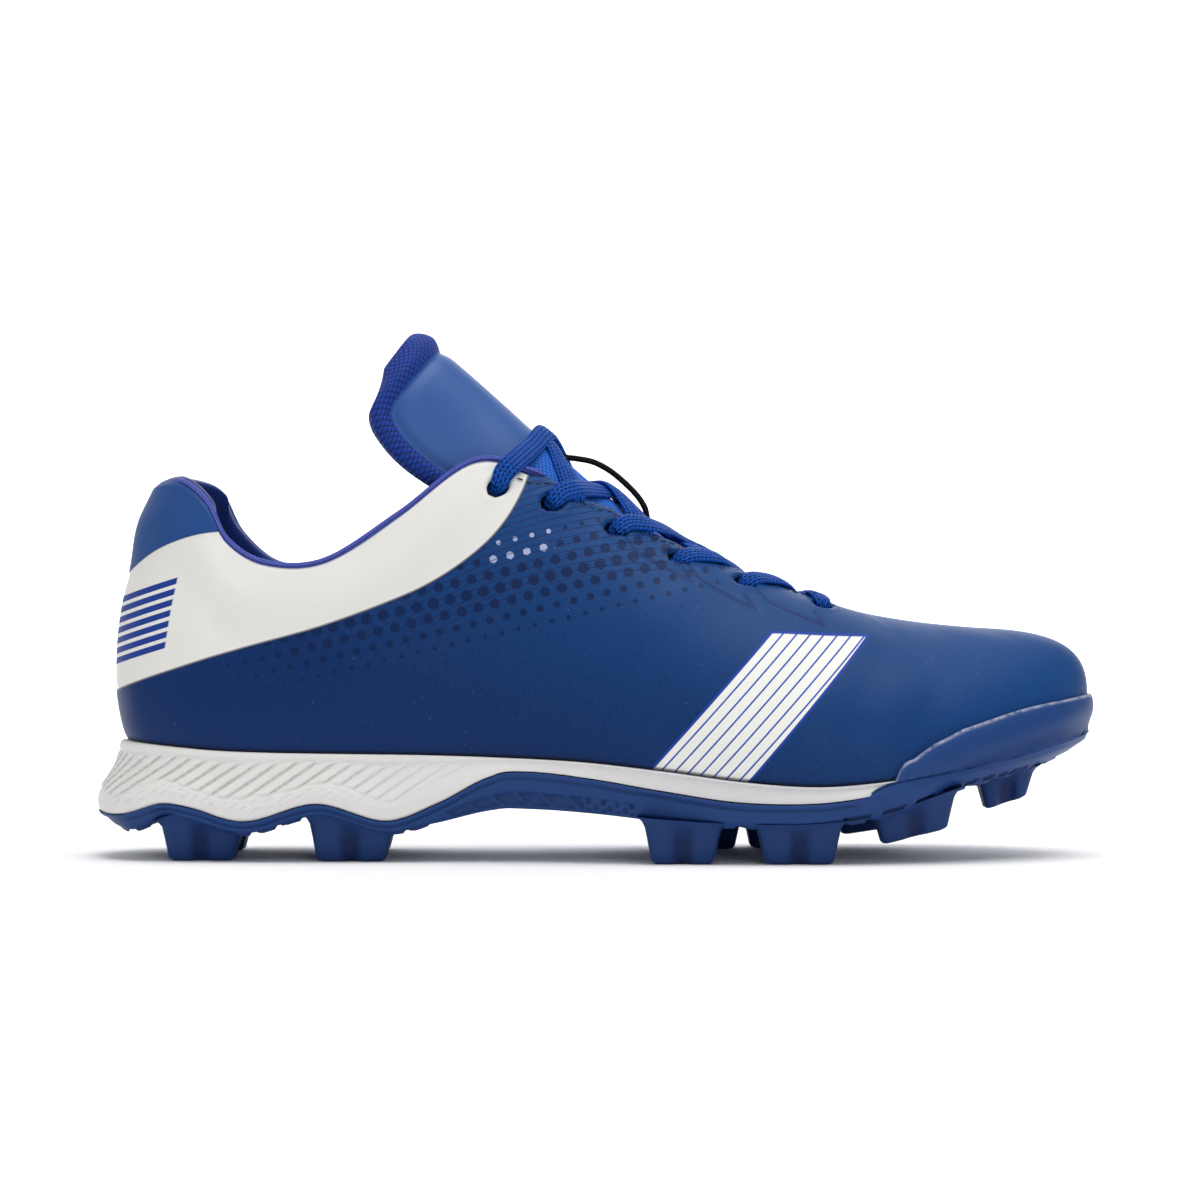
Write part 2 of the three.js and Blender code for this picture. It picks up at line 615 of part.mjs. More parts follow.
// Height of the tongue's upper face at x on its middle line, and the normal there.
function tongueTop(x) {
  let t = 0;
  while (t < 1 && tongueFrame(t).centre.x > x) t += 0.005;
  return tongueFrame(t);
}

// A flat band swept along points, each with the normal of what it lies on.
function band(points, normals, width, thickness) {
  const shell = new Shell();
  const path = new THREE.CatmullRomCurve3(points);
  const lean = new THREE.CatmullRomCurve3(normals);
  const rings = [];
  for (let i = 0; i <= LACE_STEPS; i += 1) {
    const t = i / LACE_STEPS;
    const [p, along, up] = [path.getPoint(t), path.getTangent(t), lean.getPoint(t).normalize()];
    const across = along.clone().cross(up).normalize();
    const top = across.clone().cross(along).normalize();
    const corners = [[-1, 0], [-0.8, -1], [0.8, -1], [1, 0], [0.8, 1], [-0.8, 1]];
    rings.push(corners.map(([a, b]) => shell.point(
      p.clone().addScaledVector(across, (a * width) / 2).addScaledVector(top, (b * thickness) / 2))));
  }
  shell.tube(rings.map((ring) => [...ring].reverse()));
  const [first, last] = [rings[0], rings[LACE_STEPS]];
  for (let i = 1; i + 1 < first.length; i += 1) {
    shell.triangles.push(first[0], first[i], first[i + 1], last[0], last[i + 1], last[i]);
  }
  return shell.solid();
}

const OVER_TONGUE = 2 * KEEPER_RADIUS + 4 * FIT_GAP; // lace above the tongue, room for the keeper

// One lace strap from the throat gap on one side, over the tongue, to an eyelet on the other.
function strap(u, side, fromU) {
  const k = ringPlace(u, side);
  const v = insetShare(k, EYELET_INSET);
  const lift = LACE_LIFT + LACE_THICKNESS / 2;
  const eyelet = upperPoint(k, v).addScaledVector(upperNormal(k, v), lift);
  const edgePlace = ringPlace(u + 0.2, side);
  const edge = topPoint(edgePlace).addScaledVector(upperNormal(edgePlace, 0.97), lift + 0.4);
  const far = topPoint(ringPlace(fromU, -side));
  const middleX = (edge.x + far.x) / 2;
  const { centre, normal } = tongueTop(middleX);
  const middle = centre.clone().addScaledVector(normal, OVER_TONGUE + LACE_THICKNESS / 2);
  far.y -= -side * 1.5;
  far.z += lift + 0.8;
  const up = new THREE.Vector3(0, 0, 1);
  const tilted = up.clone().add(new THREE.Vector3(0, -side * 0.3, 0));
  return band([far, middle, edge, eyelet],
    [tilted, normal, upperNormal(edgePlace, 0.97), upperNormal(k, v)], LACE_WIDTH, LACE_THICKNESS);
}

const BAR_CLEAR = 0.45; // sections by which the last crossing stops short of the bar
function laceCross(i) {
  const from = Math.min(EYELETS[i + 1], EYELETS[EYELETS.length - 1] - BAR_CLEAR);
  return strap(EYELETS[i], -1, from).add(strap(EYELETS[i], 1, from));
}

// The lace's first run, straight over the throat foot between the last pair of eyelets.
function laceBar() {
  const u = EYELETS[EYELETS.length - 1];
  const lift = LACE_LIFT + LACE_THICKNESS / 2;
  const onUpper = (side, distance) => {
    const k = ringPlace(u, side);
    const v = insetShare(k, distance);
    return [upperPoint(k, v).addScaledVector(upperNormal(k, v), lift), upperNormal(k, v)];
  };
  const stops = [onUpper(-1, EYELET_INSET), onUpper(-1, 1), onUpper(1, 1), onUpper(1, EYELET_INSET)];
  return band(stops.map((stop) => stop[0]), stops.map((stop) => stop[1]), LACE_WIDTH, LACE_THICKNESS);
}

// A round elastic cord along the tongue: it lies under the crossings and stands in a loop over the second.
// Columns: along the tongue, rise in mm off where it lies.
const KEEPER_LINE = table("along rise", [
  [0.1, 0],
  [0.2, 0],
  [0.3, 0],
  [0.355, 0],
  [0.372, 0.4],
  [0.39, 3.4],
  [0.415, 5.4],
  [0.455, 6.2],
  [0.485, 4.8],
  [0.503, 2],
  [0.515, 0.2],
  [0.527, 0],
]);
const KEEPER_SIDE = 0.12; // across the tongue, to the inner side
function keeperCord() {
  const points = KEEPER_LINE.map(({ along, rise }) =>
    tonguePoint(along, KEEPER_SIDE, -(KEEPER_RADIUS + FIT_GAP + rise)));
  const path = new THREE.CatmullRomCurve3(points);
  const tube = new THREE.TubeGeometry(path, CORD_STEPS, KEEPER_RADIUS, CORD_SIDES);
  const shell = new Shell();
  const place = tube.getAttribute("position");
  const rings = Array.from({ length: CORD_STEPS + 1 }, (_, i) => Array.from({ length: CORD_SIDES }, (_, j) =>
    shell.point(new THREE.Vector3().fromBufferAttribute(place, i * (CORD_SIDES + 1) + j))));
  shell.tube(rings.map((row) => [...row].reverse()));
  const [first, last] = [rings[0], rings[CORD_STEPS]];
  for (let j = 1; j + 1 < CORD_SIDES; j += 1) {
    shell.triangles.push(first[0], first[j], first[j + 1], last[0], last[j + 1], last[j]);
  }
  return shell.solid();
}

// All pieces, moved together so that the origin is the middle of their box, on the floor.
const makers = [
  ["outsole", outsole, "#1d4196"],
  ["midsole", midsole, "#f1f1ef"],
  ["upper", upper, "#2149a0"],
  ["tongue", tongue, "#2a52ac"],
  ["insole", insole, "#1f2c55"],
  ["lace_bar", laceBar, "#1a2f86"],
  ["keeper_cord", keeperCord, "#16181c"],
];
for (let i = 0; i + 1 < EYELETS.length; i += 1) {
  makers.push([`lace_cross_${i + 1}`, () => laceCross(i), "#1a2f86"]);
}
const group = new THREE.Group();
for (const [name, make, color] of makers) group.add(toMesh(name, make(), color));
const box = new THREE.Box3().setFromObject(group);
const middle = box.getCenter(new THREE.Vector3());
for (const mesh of group.children) mesh.geometry.translate(-middle.x, -middle.y, -box.min.z);

export default group;
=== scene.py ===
import json
import math

import bpy
import numpy as np
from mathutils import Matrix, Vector

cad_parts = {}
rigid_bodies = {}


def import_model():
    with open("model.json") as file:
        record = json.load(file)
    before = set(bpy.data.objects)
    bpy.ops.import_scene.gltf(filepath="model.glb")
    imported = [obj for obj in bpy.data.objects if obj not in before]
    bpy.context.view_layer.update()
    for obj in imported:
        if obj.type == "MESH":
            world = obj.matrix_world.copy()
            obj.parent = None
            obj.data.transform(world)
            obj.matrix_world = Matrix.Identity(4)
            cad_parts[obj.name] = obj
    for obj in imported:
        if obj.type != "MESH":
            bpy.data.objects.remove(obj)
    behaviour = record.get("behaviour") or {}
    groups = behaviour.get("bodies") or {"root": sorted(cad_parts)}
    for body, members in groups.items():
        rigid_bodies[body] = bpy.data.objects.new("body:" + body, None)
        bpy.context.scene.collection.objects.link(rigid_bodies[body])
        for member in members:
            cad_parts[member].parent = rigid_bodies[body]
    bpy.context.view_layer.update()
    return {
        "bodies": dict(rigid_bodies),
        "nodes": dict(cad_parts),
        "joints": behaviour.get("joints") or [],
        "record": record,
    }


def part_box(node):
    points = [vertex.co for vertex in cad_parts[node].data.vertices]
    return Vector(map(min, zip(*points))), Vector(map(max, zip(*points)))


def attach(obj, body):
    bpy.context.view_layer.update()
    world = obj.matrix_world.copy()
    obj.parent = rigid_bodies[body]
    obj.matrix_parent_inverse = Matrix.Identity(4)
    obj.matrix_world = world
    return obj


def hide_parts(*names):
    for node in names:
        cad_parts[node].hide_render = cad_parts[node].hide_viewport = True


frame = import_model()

MM = 0.001

# ---------------------------------------------------------------- form of the shoe, as in the part's source
LENGTH, BALL, SEAT, RISE = 300.0, 98.0, 34.0, 80.0
WALL, PAD, GAP, WELT, RIM, RIM_TOP, PLATE = 2.2, 3.6, 0.3, 1.6, 2.4, 1.8, 2.6
TOE, FOOT, FRONT = 16, 13, 7  # last section, throat foot, front of the collar


def table(columns, rows):
    data = np.array(rows, float)
    return {name: data[:, i] for i, name in enumerate(columns.split())}


SECTIONS = table(
    "at outer inner seat topAt gap shift top lift flare rise shoulder drop",
    [
        [0.03, 0, 0, 1.03, 0.058, 0, 0, 0.955, 0, 0.083, 0.284, 0.1, 0.31],
        [0.047, 0.194, 0.194, 1.02, 0.085, 0.15, 0, 0.968, 0, 0.075, 0.272, 0.083, 0.285],
        [0.093, 0.301, 0.296, 0.985, 0.115, 0.24, 0, 0.9, 0.035, 0.056, 0.245, 0.062, 0.255],
        [0.13, 0.328, 0.318, 0.96, 0.138, 0.28, 0, 0.765, 0.03, 0.048, 0.225, 0.045, 0.225],
        [0.175, 0.342, 0.327, 0.945, 0.177, 0.304, 0, 0.69, 0, 0.043, 0.21, 0.04, 0.21],
        [0.247, 0.352, 0.321, 0.935, 0.235, 0.32, 0, 0.705, 0, 0.043, 0.21, 0.045, 0.21],
        [0.327, 0.347, 0.301, 0.925, 0.307, 0.312, 0, 0.88, 0, 0.041, 0.25, 0.065, 0.275],
        [0.407, 0.367, 0.296, 0.905, 0.38, 0.28, 0, 1.085, 0, 0.041, 0.3, 0.09, 0.275],
        [0.487, 0.408, 0.337, 0.87, 0.442, 0.23, 0, 1.06, 0, 0.041, 0.34, 0.12, 0.175],
        [0.567, 0.459, 0.398, 0.795, 0.513, 0.175, 0, 0.97, 0, 0.046, 0.34, 0.143, 0.11],
        [0.647, 0.495, 0.454, 0.705, 0.593, 0.135, 0, 0.852, 0, 0.05, 0.3, 0.173, 0.075],
        [0.72, 0.5, 0.485, 0.668, 0.667, 0.1, 0.005, 0.757, 0, 0.056, 0.275, 0.204, 0.05],
        [0.793, 0.464, 0.485, 0.72, 0.727, 0.066, 0.01, 0.652, 0, 0.056, 0.25, 0.214, 0.02],
        [0.86, 0.388, 0.444, 0.81, 0.762, 0, 0.015, 0.571, 0, 0.056, 0.238, 0.245, 0],
        [0.922, 0.276, 0.357, 0.925, 0.807, 0, 0.025, 0.49, 0, 0.05, 0.225, 0.265, 0],
        [0.966, 0.143, 0.235, 1.03, 0.847, 0, 0.035, 0.425, 0, 0.046, 0.225, 0.335, 0],
        [0.991, -0.05, 0.05, 1.1, 0.873, 0, 0.045, 0.386, 0, 0.04, 0.25, 0.385, 0],
    ],
)
SOLE = table(
    "at foam plate bulge tread",
    [
        [0, 0.5, 0.42, 0.1, 0.035],
        [0.045, 0.39, 0.26, 0.085, 0.04],
        [0.088, 0.5, 0.385, 0.062, 0.034],
        [0.157, 0.35, 0.25, 0.05, 0.03],
        [0.228, 0.5, 0.4, 0.046, 0.026],
        [0.295, 0.355, 0.26, 0.042, 0.022],
        [0.345, 0.5, 0.34, 0.03, 0.01],
        [0.4, 0.74, 0.45, 0.024, 0],
        [0.43, 0.78, 0.46, 0.022, -0.004],
        [0.49, 0.73, 0.43, 0.022, -0.002],
        [0.56, 0.63, 0.37, 0.022, 0.004],
        [0.64, 0.53, 0.33, 0.024, 0.006],
        [0.72, 0.525, 0.335, 0.026, 0.006],
        [0.787, 0.62, 0.43, 0.028, 0.002],
        [0.86, 0.77, 0.64, 0.022, -0.012],
        [0.92, 0.87, 0.757, 0.014, -0.024],
        [0.99, 1.03, 0.92, 0.012, -0.04],
    ],
)
BUMPER = table("section height", [
        [11.55, -0.8],
        [11.8, -0.22],
        [12, 0.045],
        [12.25, 0.1],
        [12.5, 0.142],
        [13, 0.188],
        [14, 0.232],
        [15, 0.235],
        [16, 0.205],
    ])
FOAM_SIDE = table("height bulge", [[0, 1], [0.25, 0.96], [0.65, 0.3], [1, 0]])
TONGUE = table(
    "at high half droop",
    [
        [0.765, 0.575, 0.13, 0.04],
        [0.72, 0.635, 0.18, 0.07],
        [0.66, 0.7, 0.22, 0.1],
        [0.59, 0.805, 0.25, 0.14],
        [0.51, 0.955, 0.265, 0.2],
        [0.447, 1.1, 0.252, 0.28],
        [0.4, 1.212, 0.24, 0.33],
        [0.362, 1.3, 0.235, 0.325],
        [0.334, 1.36, 0.22, 0.275],
        [0.318, 1.39, 0.155, 0.13],
    ],
)
EYELETS = [7.55, 8.5, 9.4, 10.3, 11.15, 12.1]
HOLES = [7.4, 8.24, 9.1, 9.86, 10.7, 11.85]  # the punched ovals sit a little behind the crossings
EYELET_INSET = 8.0
KEEPER_RADIUS = 0.8
RING = 2 * TOE


def mix(a, b, t):
    return a + (b - a) * t


def smooth(t):
    t = np.clip(t, 0, 1)
    return t * t * (3 - 2 * t)


def spline(values, u, mirror=None, sign=1.0):
    last = len(values) - 1
    beyond = lambda end, after: sign * mirror[after] if mirror is not None else 2 * values[end] - values[after]
    ext = np.concatenate([[beyond(0, 1)], values, [beyond(last, last - 1)]])
    u = np.asarray(u, float)
    i = np.clip(np.floor(u), 0, last - 1).astype(int)
    t = u - i
    a, b, c, d = ext[i], ext[i + 1], ext[i + 2], ext[i + 3]
    return b + 0.5 * t * (c - a + t * (2 * a - 5 * b + 4 * c - d + t * (3 * (b - c) + d - a)))


def look(rows, key, name, place):
    keys = rows[key]
    i = np.searchsorted(keys[1:-1], place, side="left")
    t = np.clip((place - keys[i]) / (keys[i + 1] - keys[i]), 0, 1)
    return spline(rows[name], i + t)


def section(name, u):
    return spline(SECTIONS[name], u, SECTIONS[name])


def ring_side(k):
    around = np.mod(k, RING)
    return np.where(around <= TOE, around, RING - around), np.where(around <= TOE, -1.0, 1.0)


def stack3(x, y, z):
    return np.stack(np.broadcast_arrays(x, y, z), -1)


def unit(v):
    return v / np.maximum(np.linalg.norm(v, axis=-1, keepdims=True), 1e-9)


def feather(k):
    u, side = ring_side(k)
    low = spline(SECTIONS["outer"], u, SECTIONS["inner"], -1)
    high = spline(SECTIONS["inner"], u, SECTIONS["outer"], -1)
    half = np.where(side < 0, low, high)
    return stack3((section("at", u) - 0.5) * LENGTH, side * half * BALL, section("seat", u) * SEAT)


def outward(k):
    along = feather(k + 0.05) - feather(k - 0.05)
    return unit(stack3(along[..., 1], -along[..., 0], 0 * along[..., 0]))


def open_half(u):
    body = spline(SECTIONS["gap"], u, SECTIONS["gap"], -1)
    end = SECTIONS["gap"][FOOT - 1] * np.sqrt(np.clip(1 - (u - FOOT + 1) ** 2, 0, 1))
    return np.where(u >= FOOT, 0, np.where(u > FOOT - 1, end, body)) * BALL


def top_point(k):
    u, side = ring_side(k)
    lift = np.where(side > 0, section("lift", u), 0)
    z = section("seat", u) * SEAT + (section("top", u) + lift) * RISE
    return stack3((section("topAt", u) - 0.5) * LENGTH, section("shift", u) * BALL + side * open_half(u), z)


def upper_point(k, v):
    k, v = np.broadcast_arrays(np.asarray(k, float), np.asarray(v, float))
    u, _ = ring_side(k)
    out, foot, head = outward(k), feather(k), top_point(k)
    low = foot + out * (section("flare", u) * BALL)[..., None]
    low[..., 2] += section("rise", u) * RISE
    high = head + out * (section("shoulder", u) * BALL)[..., None]
    high[..., 2] -= section("drop", u) * RISE
    w = v[..., None]
    # the throat's round end bends the ribs only near their tops
    u, side = ring_side(k)
    soft = np.where(u >= FOOT, 0, np.maximum(spline(SECTIONS["gap"], u, SECTIONS["gap"], -1), 0)) * BALL
    local = np.where(u > FOOT - 1, side * (open_half(u) - soft), 0.0)
    head[..., 1] -= local
    high[..., 1] -= local
    p = foot * (1 - w) ** 3 + 3 * low * w * (1 - w) ** 2 + 3 * high * w * w * (1 - w) + head * w ** 3
    p[..., 1] += local * smooth((v - 0.7) / 0.3)
    return p


def upper_normal(k, v):
    k, v = np.broadcast_arrays(np.asarray(k, float), np.asarray(v, float))
    u, _ = ring_side(k)
    dk, dv = 0.06, 0.02
    slope = top_point(np.minimum(u + dk, TOE)) - top_point(u - dk)
    ridge = unit(stack3(-slope[..., 2], 0 * u, slope[..., 0]))
    rise = upper_point(k, np.minimum(v + dv, 1)) - upper_point(k, np.maximum(v - dv, 0))
    along = upper_point(k + dk, v) - upper_point(k - dk, v)
    own = unit(np.cross(along, rise))
    return np.where(((v >= 0.999) & (u >= FOOT - 0.2))[..., None], ridge, own)


def wall_at(u, v):
    return WALL + PAD * (1 - smooth((u - FRONT + 1) / 1.4)) * smooth((v - 0.45) / 0.4)


def side_point(k, off, z):
    p = feather(k) + outward(k) * np.asarray(off)[..., None]
    p[..., 2] = z
    return p


def sole_line(k):
    foot = feather(k)
    at = foot[..., 0] / LENGTH + 0.5
    value = lambda name: look(SOLE, "at", name, at)
    return foot[..., 2], value("foam") * SEAT, value("plate") * SEAT, value("bulge") * BALL, value("tread") * BALL


def tongue_frame(t):
    place = np.asarray(t, float) * (len(TONGUE["at"]) - 1)
    mid = lambda p: stack3(
        (spline(TONGUE["at"], p) - 0.5) * LENGTH, 0 * p, spline(TONGUE["high"], p) * (SEAT + RISE)
    )
    along = unit(mid(place + 0.01) - mid(place - 0.01))
    normal = stack3(along[..., 2], 0 * place, -along[..., 0])
    return mid(place), normal, spline(TONGUE["half"], place) * BALL, spline(TONGUE["droop"], place) * BALL


CURL = 1.25


def tongue_point(t, w, depth):
    t, w, depth = np.broadcast_arrays(np.asarray(t, float), np.asarray(w, float), np.asarray(depth, float))
    mid, normal, half, droop = tongue_frame(t)
    back = (1 - np.cos(CURL * w)) / (1 - math.cos(CURL))
    p = mid - normal * (droop * back)[..., None]
    p[..., 1] += half * np.sin(CURL * w) / math.sin(CURL)
    lean = np.arctan2(droop * 2 * w * np.sqrt(back), half)
    inwards = -normal * np.cos(lean)[..., None]
    inwards[..., 1] = -np.sin(lean)
    return p + inwards * depth[..., None]


# the part's source centres its pieces, so the form here is moved by what the insole's box says
_k = np.arange(RING * 2) / 2
_own = side_point(_k, np.full(_k.shape, -(WALL + GAP)), 0.0)
_lo, _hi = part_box("insole")
SHIFT = np.array([_lo[0] / MM - _own[:, 0].min(), _lo[1] / MM - _own[:, 1].min(), 0.0])


# ---------------------------------------------------------------- mesh helpers
def make(name, verts, faces, attributes=None, uv=None, smooth_faces=True, weld=0.0):
    mesh = bpy.data.meshes.new(name)
    verts = (np.asarray(verts, float).reshape(-1, 3) + SHIFT) * MM
    mesh.from_pydata(verts.tolist(), [], [list(map(int, f)) for f in faces])
    for key, values in (attributes or {}).items():
        layer = mesh.attributes.new(key, "FLOAT", "POINT")
        layer.data.foreach_set("value", np.asarray(values, np.float32).ravel())
    if uv is not None:
        layer = mesh.uv_layers.new(name="UVMap")
        index = np.zeros(len(mesh.loops), np.int32)
        mesh.loops.foreach_get("vertex_index", index)
        layer.data.foreach_set("uv", np.asarray(uv, np.float32).reshape(-1, 2)[index].ravel())
    obj = bpy.data.objects.new(name, mesh)
    bpy.context.scene.collection.objects.link(obj)
    if weld:
        import bmesh

        bm = bmesh.new()
        bm.from_mesh(mesh)
        bmesh.ops.remove_doubles(bm, verts=bm.verts, dist=weld * MM)
        bm.to_mesh(mesh)
        bm.free()
    mesh.polygons.foreach_set("use_smooth", [smooth_faces] * len(mesh.polygons))
    mesh.update()
    return obj


def grid_faces(rows, cols, close_cols=False, close_rows=False, base=0, flip=False):
    r = np.arange(rows if close_rows else rows - 1)
    c = np.arange(cols if close_cols else cols - 1)
    rr, cc = np.meshgrid(r, c, indexing="ij")
    r1, c1 = (rr + 1) % rows, (cc + 1) % cols
    faces = np.stack([rr * cols + cc, rr * cols + c1, r1 * cols + c1, r1 * cols + cc], -1).reshape(-1, 4) + base
    return faces[:, ::-1] if flip else faces


def segment_distance(p, line):
    """Distance in mm of points (n, 2) from a polyline, and on which side they lie (above 0: left of it)."""
    best, sign = np.full(p.shape[:-1], 1e9), np.ones(p.shape[:-1])
    for a, b in zip(line[:-1], line[1:]):
        a, b = np.array(a, float), np.array(b, float)
        d = b - a
        t = np.clip(((p - a) @ d) / (d @ d), 0, 1)
        off = p - (a + t[..., None] * d)
        dist = np.linalg.norm(off, axis=-1)
        cross = d[0] * (p[..., 1] - a[1]) - d[1] * (p[..., 0] - a[0])
        near = dist < best - 1e-6
        best = np.where(near, dist, best)
        sign = np.where(near, np.sign(cross), sign)
    return best * sign


def bend(line, steps=8):
    """A smooth line through a few points given in mm."""
    line = np.array(line, float)
    u = np.linspace(0, len(line) - 1, (len(line) - 1) * steps + 1)
    return np.stack([spline(line[:, i], u) for i in range(line.shape[1])], -1)


def finish_piece(obj, nodes=(), material=None):
    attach(obj, "root")
    if nodes:
        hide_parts(*nodes)
    if material:
        obj.data.materials.append(material)
    return obj


# ---------------------------------------------------------------- lines of the panels, (X, Z) in mm seen from the side
QUARTER_LINE = bend([(-146, 49), (-129, 55), (-105, 62.5), (-81, 69), (-58, 77.5), (-45, 84), (-34, 92), (-27, 99.5),
                     (-22, 108), (-19, 116), (-17.5, 121)])
TAB_LINE = bend([(-150, 79), (-142, 84.5), (-134, 90), (-126, 93.5), (-115, 96.5), (-104, 98)])
BAND = [(10, 20), (38, 17), (80, 66), (52, 67)]  # plain slanted band from the sole to the lacing


EMBOSS = [(2.4, -1.0), (4.2, -3.2), (7.6, -6.2), (13.5, -8.6), (24.5, -12.4), (21, -8.4)]  # from an eyelet, in mm
EMBOSS_AT = (2, 3, 4)  # the eyelets with a chevron below them


def inset_share(k, distance):
    v = np.linspace(1, 0.5, 400)
    line = upper_point(np.full(v.shape, k), v)
    far = np.linalg.norm(line - line[0], axis=-1)
    return float(v[np.argmax(far >= distance)])


def ring_place(u, side):
    return u if side < 0 else RING - u


def eyelet_place(u, side, distance=EYELET_INSET):
    k = ring_place(u, side)
    v = inset_share(k, distance)
    return upper_point(k, v), upper_normal(k, v), k


def upper_piece():
    around, tall = 640, 84
    k = np.arange(around) * RING / around
    v = 1 - (1 - np.linspace(0, 1, tall)) ** 1.15
    kk, vv = np.meshgrid(k, v)
    uu, side = ring_side(kk)
    # the throat edge dips between its eyelets
    dip = np.zeros(around)
    uk, _ = ring_side(k)
    for a, b in zip(HOLES[:-1], HOLES[1:]):
        t = (uk - a) / (b - a)
        dip = np.maximum(dip, np.where((t > 0) & (t < 1), 2.1 * smooth(2.6 * np.minimum(t, 1 - t)), 0))
    length = np.linalg.norm(np.diff(upper_point(kk, vv), axis=0), axis=-1).sum(0)
    vv = vv * (1 - dip / length)[None, :]
    base = upper_point(kk, vv)
    normal = upper_normal(kk, vv)
    step = np.linalg.norm(np.diff(base, axis=0), axis=-1)
    up = np.concatenate([np.zeros((1, around)), np.cumsum(step, 0)])
    edge = up[-1][None, :] - up
    flat = base[..., [0, 2]]
    quarter = segment_distance(flat, QUARTER_LINE)
    tab = segment_distance(flat, TAB_LINE)
    tab = np.where(base[..., 0] < -100, tab, -20.0)
    loop = BAND + BAND[:1]
    centre = np.mean(BAND, axis=0)
    inside = np.full(quarter.shape, 1e9)
    for a, b in zip(loop[:-1], loop[1:]):
        a, b = np.array(a, float), np.array(b, float)
        d = (b - a) / np.linalg.norm(b - a)
        off = d[0] * (flat[..., 1] - a[1]) - d[1] * (flat[..., 0] - a[0])
        inside = np.minimum(inside, off * np.sign(d[0] * (centre[1] - a[1]) - d[1] * (centre[0] - a[0])))
    hole = np.full(quarter.shape, 1e9)
    for u in HOLES:
        for s in (-1, 1):
            p, n, _ = eyelet_place(u, s)
            off = base - p
            along = np.abs(off @ n)
            # an oval that is longer towards the throat, which the lace leaves open at its lower end
            q, _, _ = eyelet_place(u + 0.2, s, EYELET_INSET - 3.4)
            long = unit(q - p)
            stretch = 1 - 0.45 * (off @ long) ** 2 / np.maximum((off ** 2).sum(-1), 1e-6)
            round_hole = np.sqrt(np.maximum((off ** 2).sum(-1) - along ** 2, 0) * stretch + 0.3 * along ** 2)
            hole = np.minimum(hole, round_hole)
    emboss = np.full(quarter.shape, 1e9)
    for i in EMBOSS_AT:
        p, _, _ = eyelet_place(HOLES[i], -1)
        slope = (top_point(HOLES[i] + 0.5) - top_point(HOLES[i] - 0.5))[[0, 2]]
        turn = math.atan2(slope[1], slope[0]) + 0.32
        way = np.array([[math.cos(turn), -math.sin(turn)], [math.sin(turn), math.cos(turn)]])
        emboss = np.minimum(emboss, np.abs(segment_distance(flat, [p[[0, 2]] + way @ np.array(q) for q in EMBOSS])))
    # relief: the blue film stands a little above the pale quarter, holes are punched, padding swells
    film = 0.35 * smooth(0.5 - quarter / 0.8) * smooth((uu - 0.0) * 10 + 1) + 0.45 * smooth(0.5 + tab / 0.9)
    lip = 0.25 * np.exp(-(((hole - 3.9) / 1.0) ** 2))
    punched = -2.4 * smooth((3.1 - hole) / 0.7)
    ring_of_pad = np.exp(-(((edge - 12) / 8.0) ** 2)) * (1 - smooth((uu - 6.2) / 1.2))
    swell = 1.1 * ring_of_pad - 0.5 * np.exp(-(((edge - 27) / 6.0) ** 2)) * (1 - smooth((uu - 6.2) / 1.2))
    round_edge = -0.6 * smooth((1.2 - edge) / 1.2) * (uu < FOOT)
    pressed = -0.3 * smooth((0.75 - emboss) / 0.6)
    rise = film + lip + punched + swell + round_edge + pressed + creases(flat, base, side, uu)
    taper = smooth(up / 3.0)
    outer = base + normal * (rise * taper)[..., None]
    outer[0, :, 2] += GAP
    inner_v = np.linspace(0, 1, 30)
    ki, vi = np.meshgrid(k, inner_v)
    vi_cut = vi * (1 - dip / length)[None, :]
    inward = upper_normal(ki, vi_cut)
    ui, _ = ring_side(ki)
    flatten = ((vi == 0) | ((vi == 1) & (ui < FOOT - 1)))[..., None] * np.array([0, 0, 1.0])
    inward = unit(inward * (1 - flatten))
    inner = upper_point(ki, vi_cut) - inward * wall_at(ui, vi)[..., None]
    inner[0, :, 2] += GAP
    # a rounded lip between the two faces along the collar and throat
    lips = []
    for t in (0.2, 0.5, 0.8):
        p = mix(outer[-1], inner[-1], t)
        p[:, 2] += 1.8 * math.sin(math.pi * t) * (uk < FOOT - 0.05) * np.linalg.norm(outer[-1] - inner[-1], axis=-1) / 6
        lips.append(p)
    foot = [mix(inner[0], outer[0], 0.5)]
    rows = np.concatenate([outer, np.array(lips), inner[::-1], np.array(foot)])
    faces = grid_faces(len(rows), around, close_cols=True, close_rows=True)
    # rows of the lip collapse where the ridge closes, so those faces are left out
    r, c = faces[:, 0] // around, faces[:, 0] % around
    closed = (r >= tall - 1) & (r < tall + 3) & (uk[c] >= FOOT - 0.001) & (uk[(c + 1) % around] >= FOOT - 0.001)
    faces = faces[~closed]
    count = len(rows) - tall
    pad = lambda a, fill: np.concatenate([a, np.full((count, around), fill)])
    keep = lambda a: np.concatenate([a, np.repeat(a[-1:], count, 0)])
    attributes = {
        "quarter": keep(quarter), "tab": keep(tab), "band": pad(inside, -50.0), "hole": pad(hole, 50.0),
        "edge": pad(edge, 0.0), "up": pad(up, 0.0), "emboss": pad(emboss, 50.0), "inside": np.concatenate([np.zeros((tall + 1, around)),
        np.ones((count - 1, around))]), "ring": pad(kk, 0.0),
    }
    return make("upper_shell", rows, faces, attributes, weld=0.02)


CREASES = [  # X, Z, half length, angle, half width, depth in mm: soft folds on both sides
    (62, 52, 24, 62, 7, -0.55), (82, 50, 20, 70, 6, -0.45), (-28, 66, 30, 20, 9, -0.5), (-92, 72, 26, 14, 8, -0.5),
    (30, 80, 22, 40, 7, 0.4), (-60, 92, 18, 35, 8, -0.6), (100, 44, 16, 60, 6, -0.4), (-6, 96, 12, -50, 5, -0.4),
    (-122, 66, 16, 80, 8, -0.4), (118, 55, 14, -30, 7, 0.35),
]


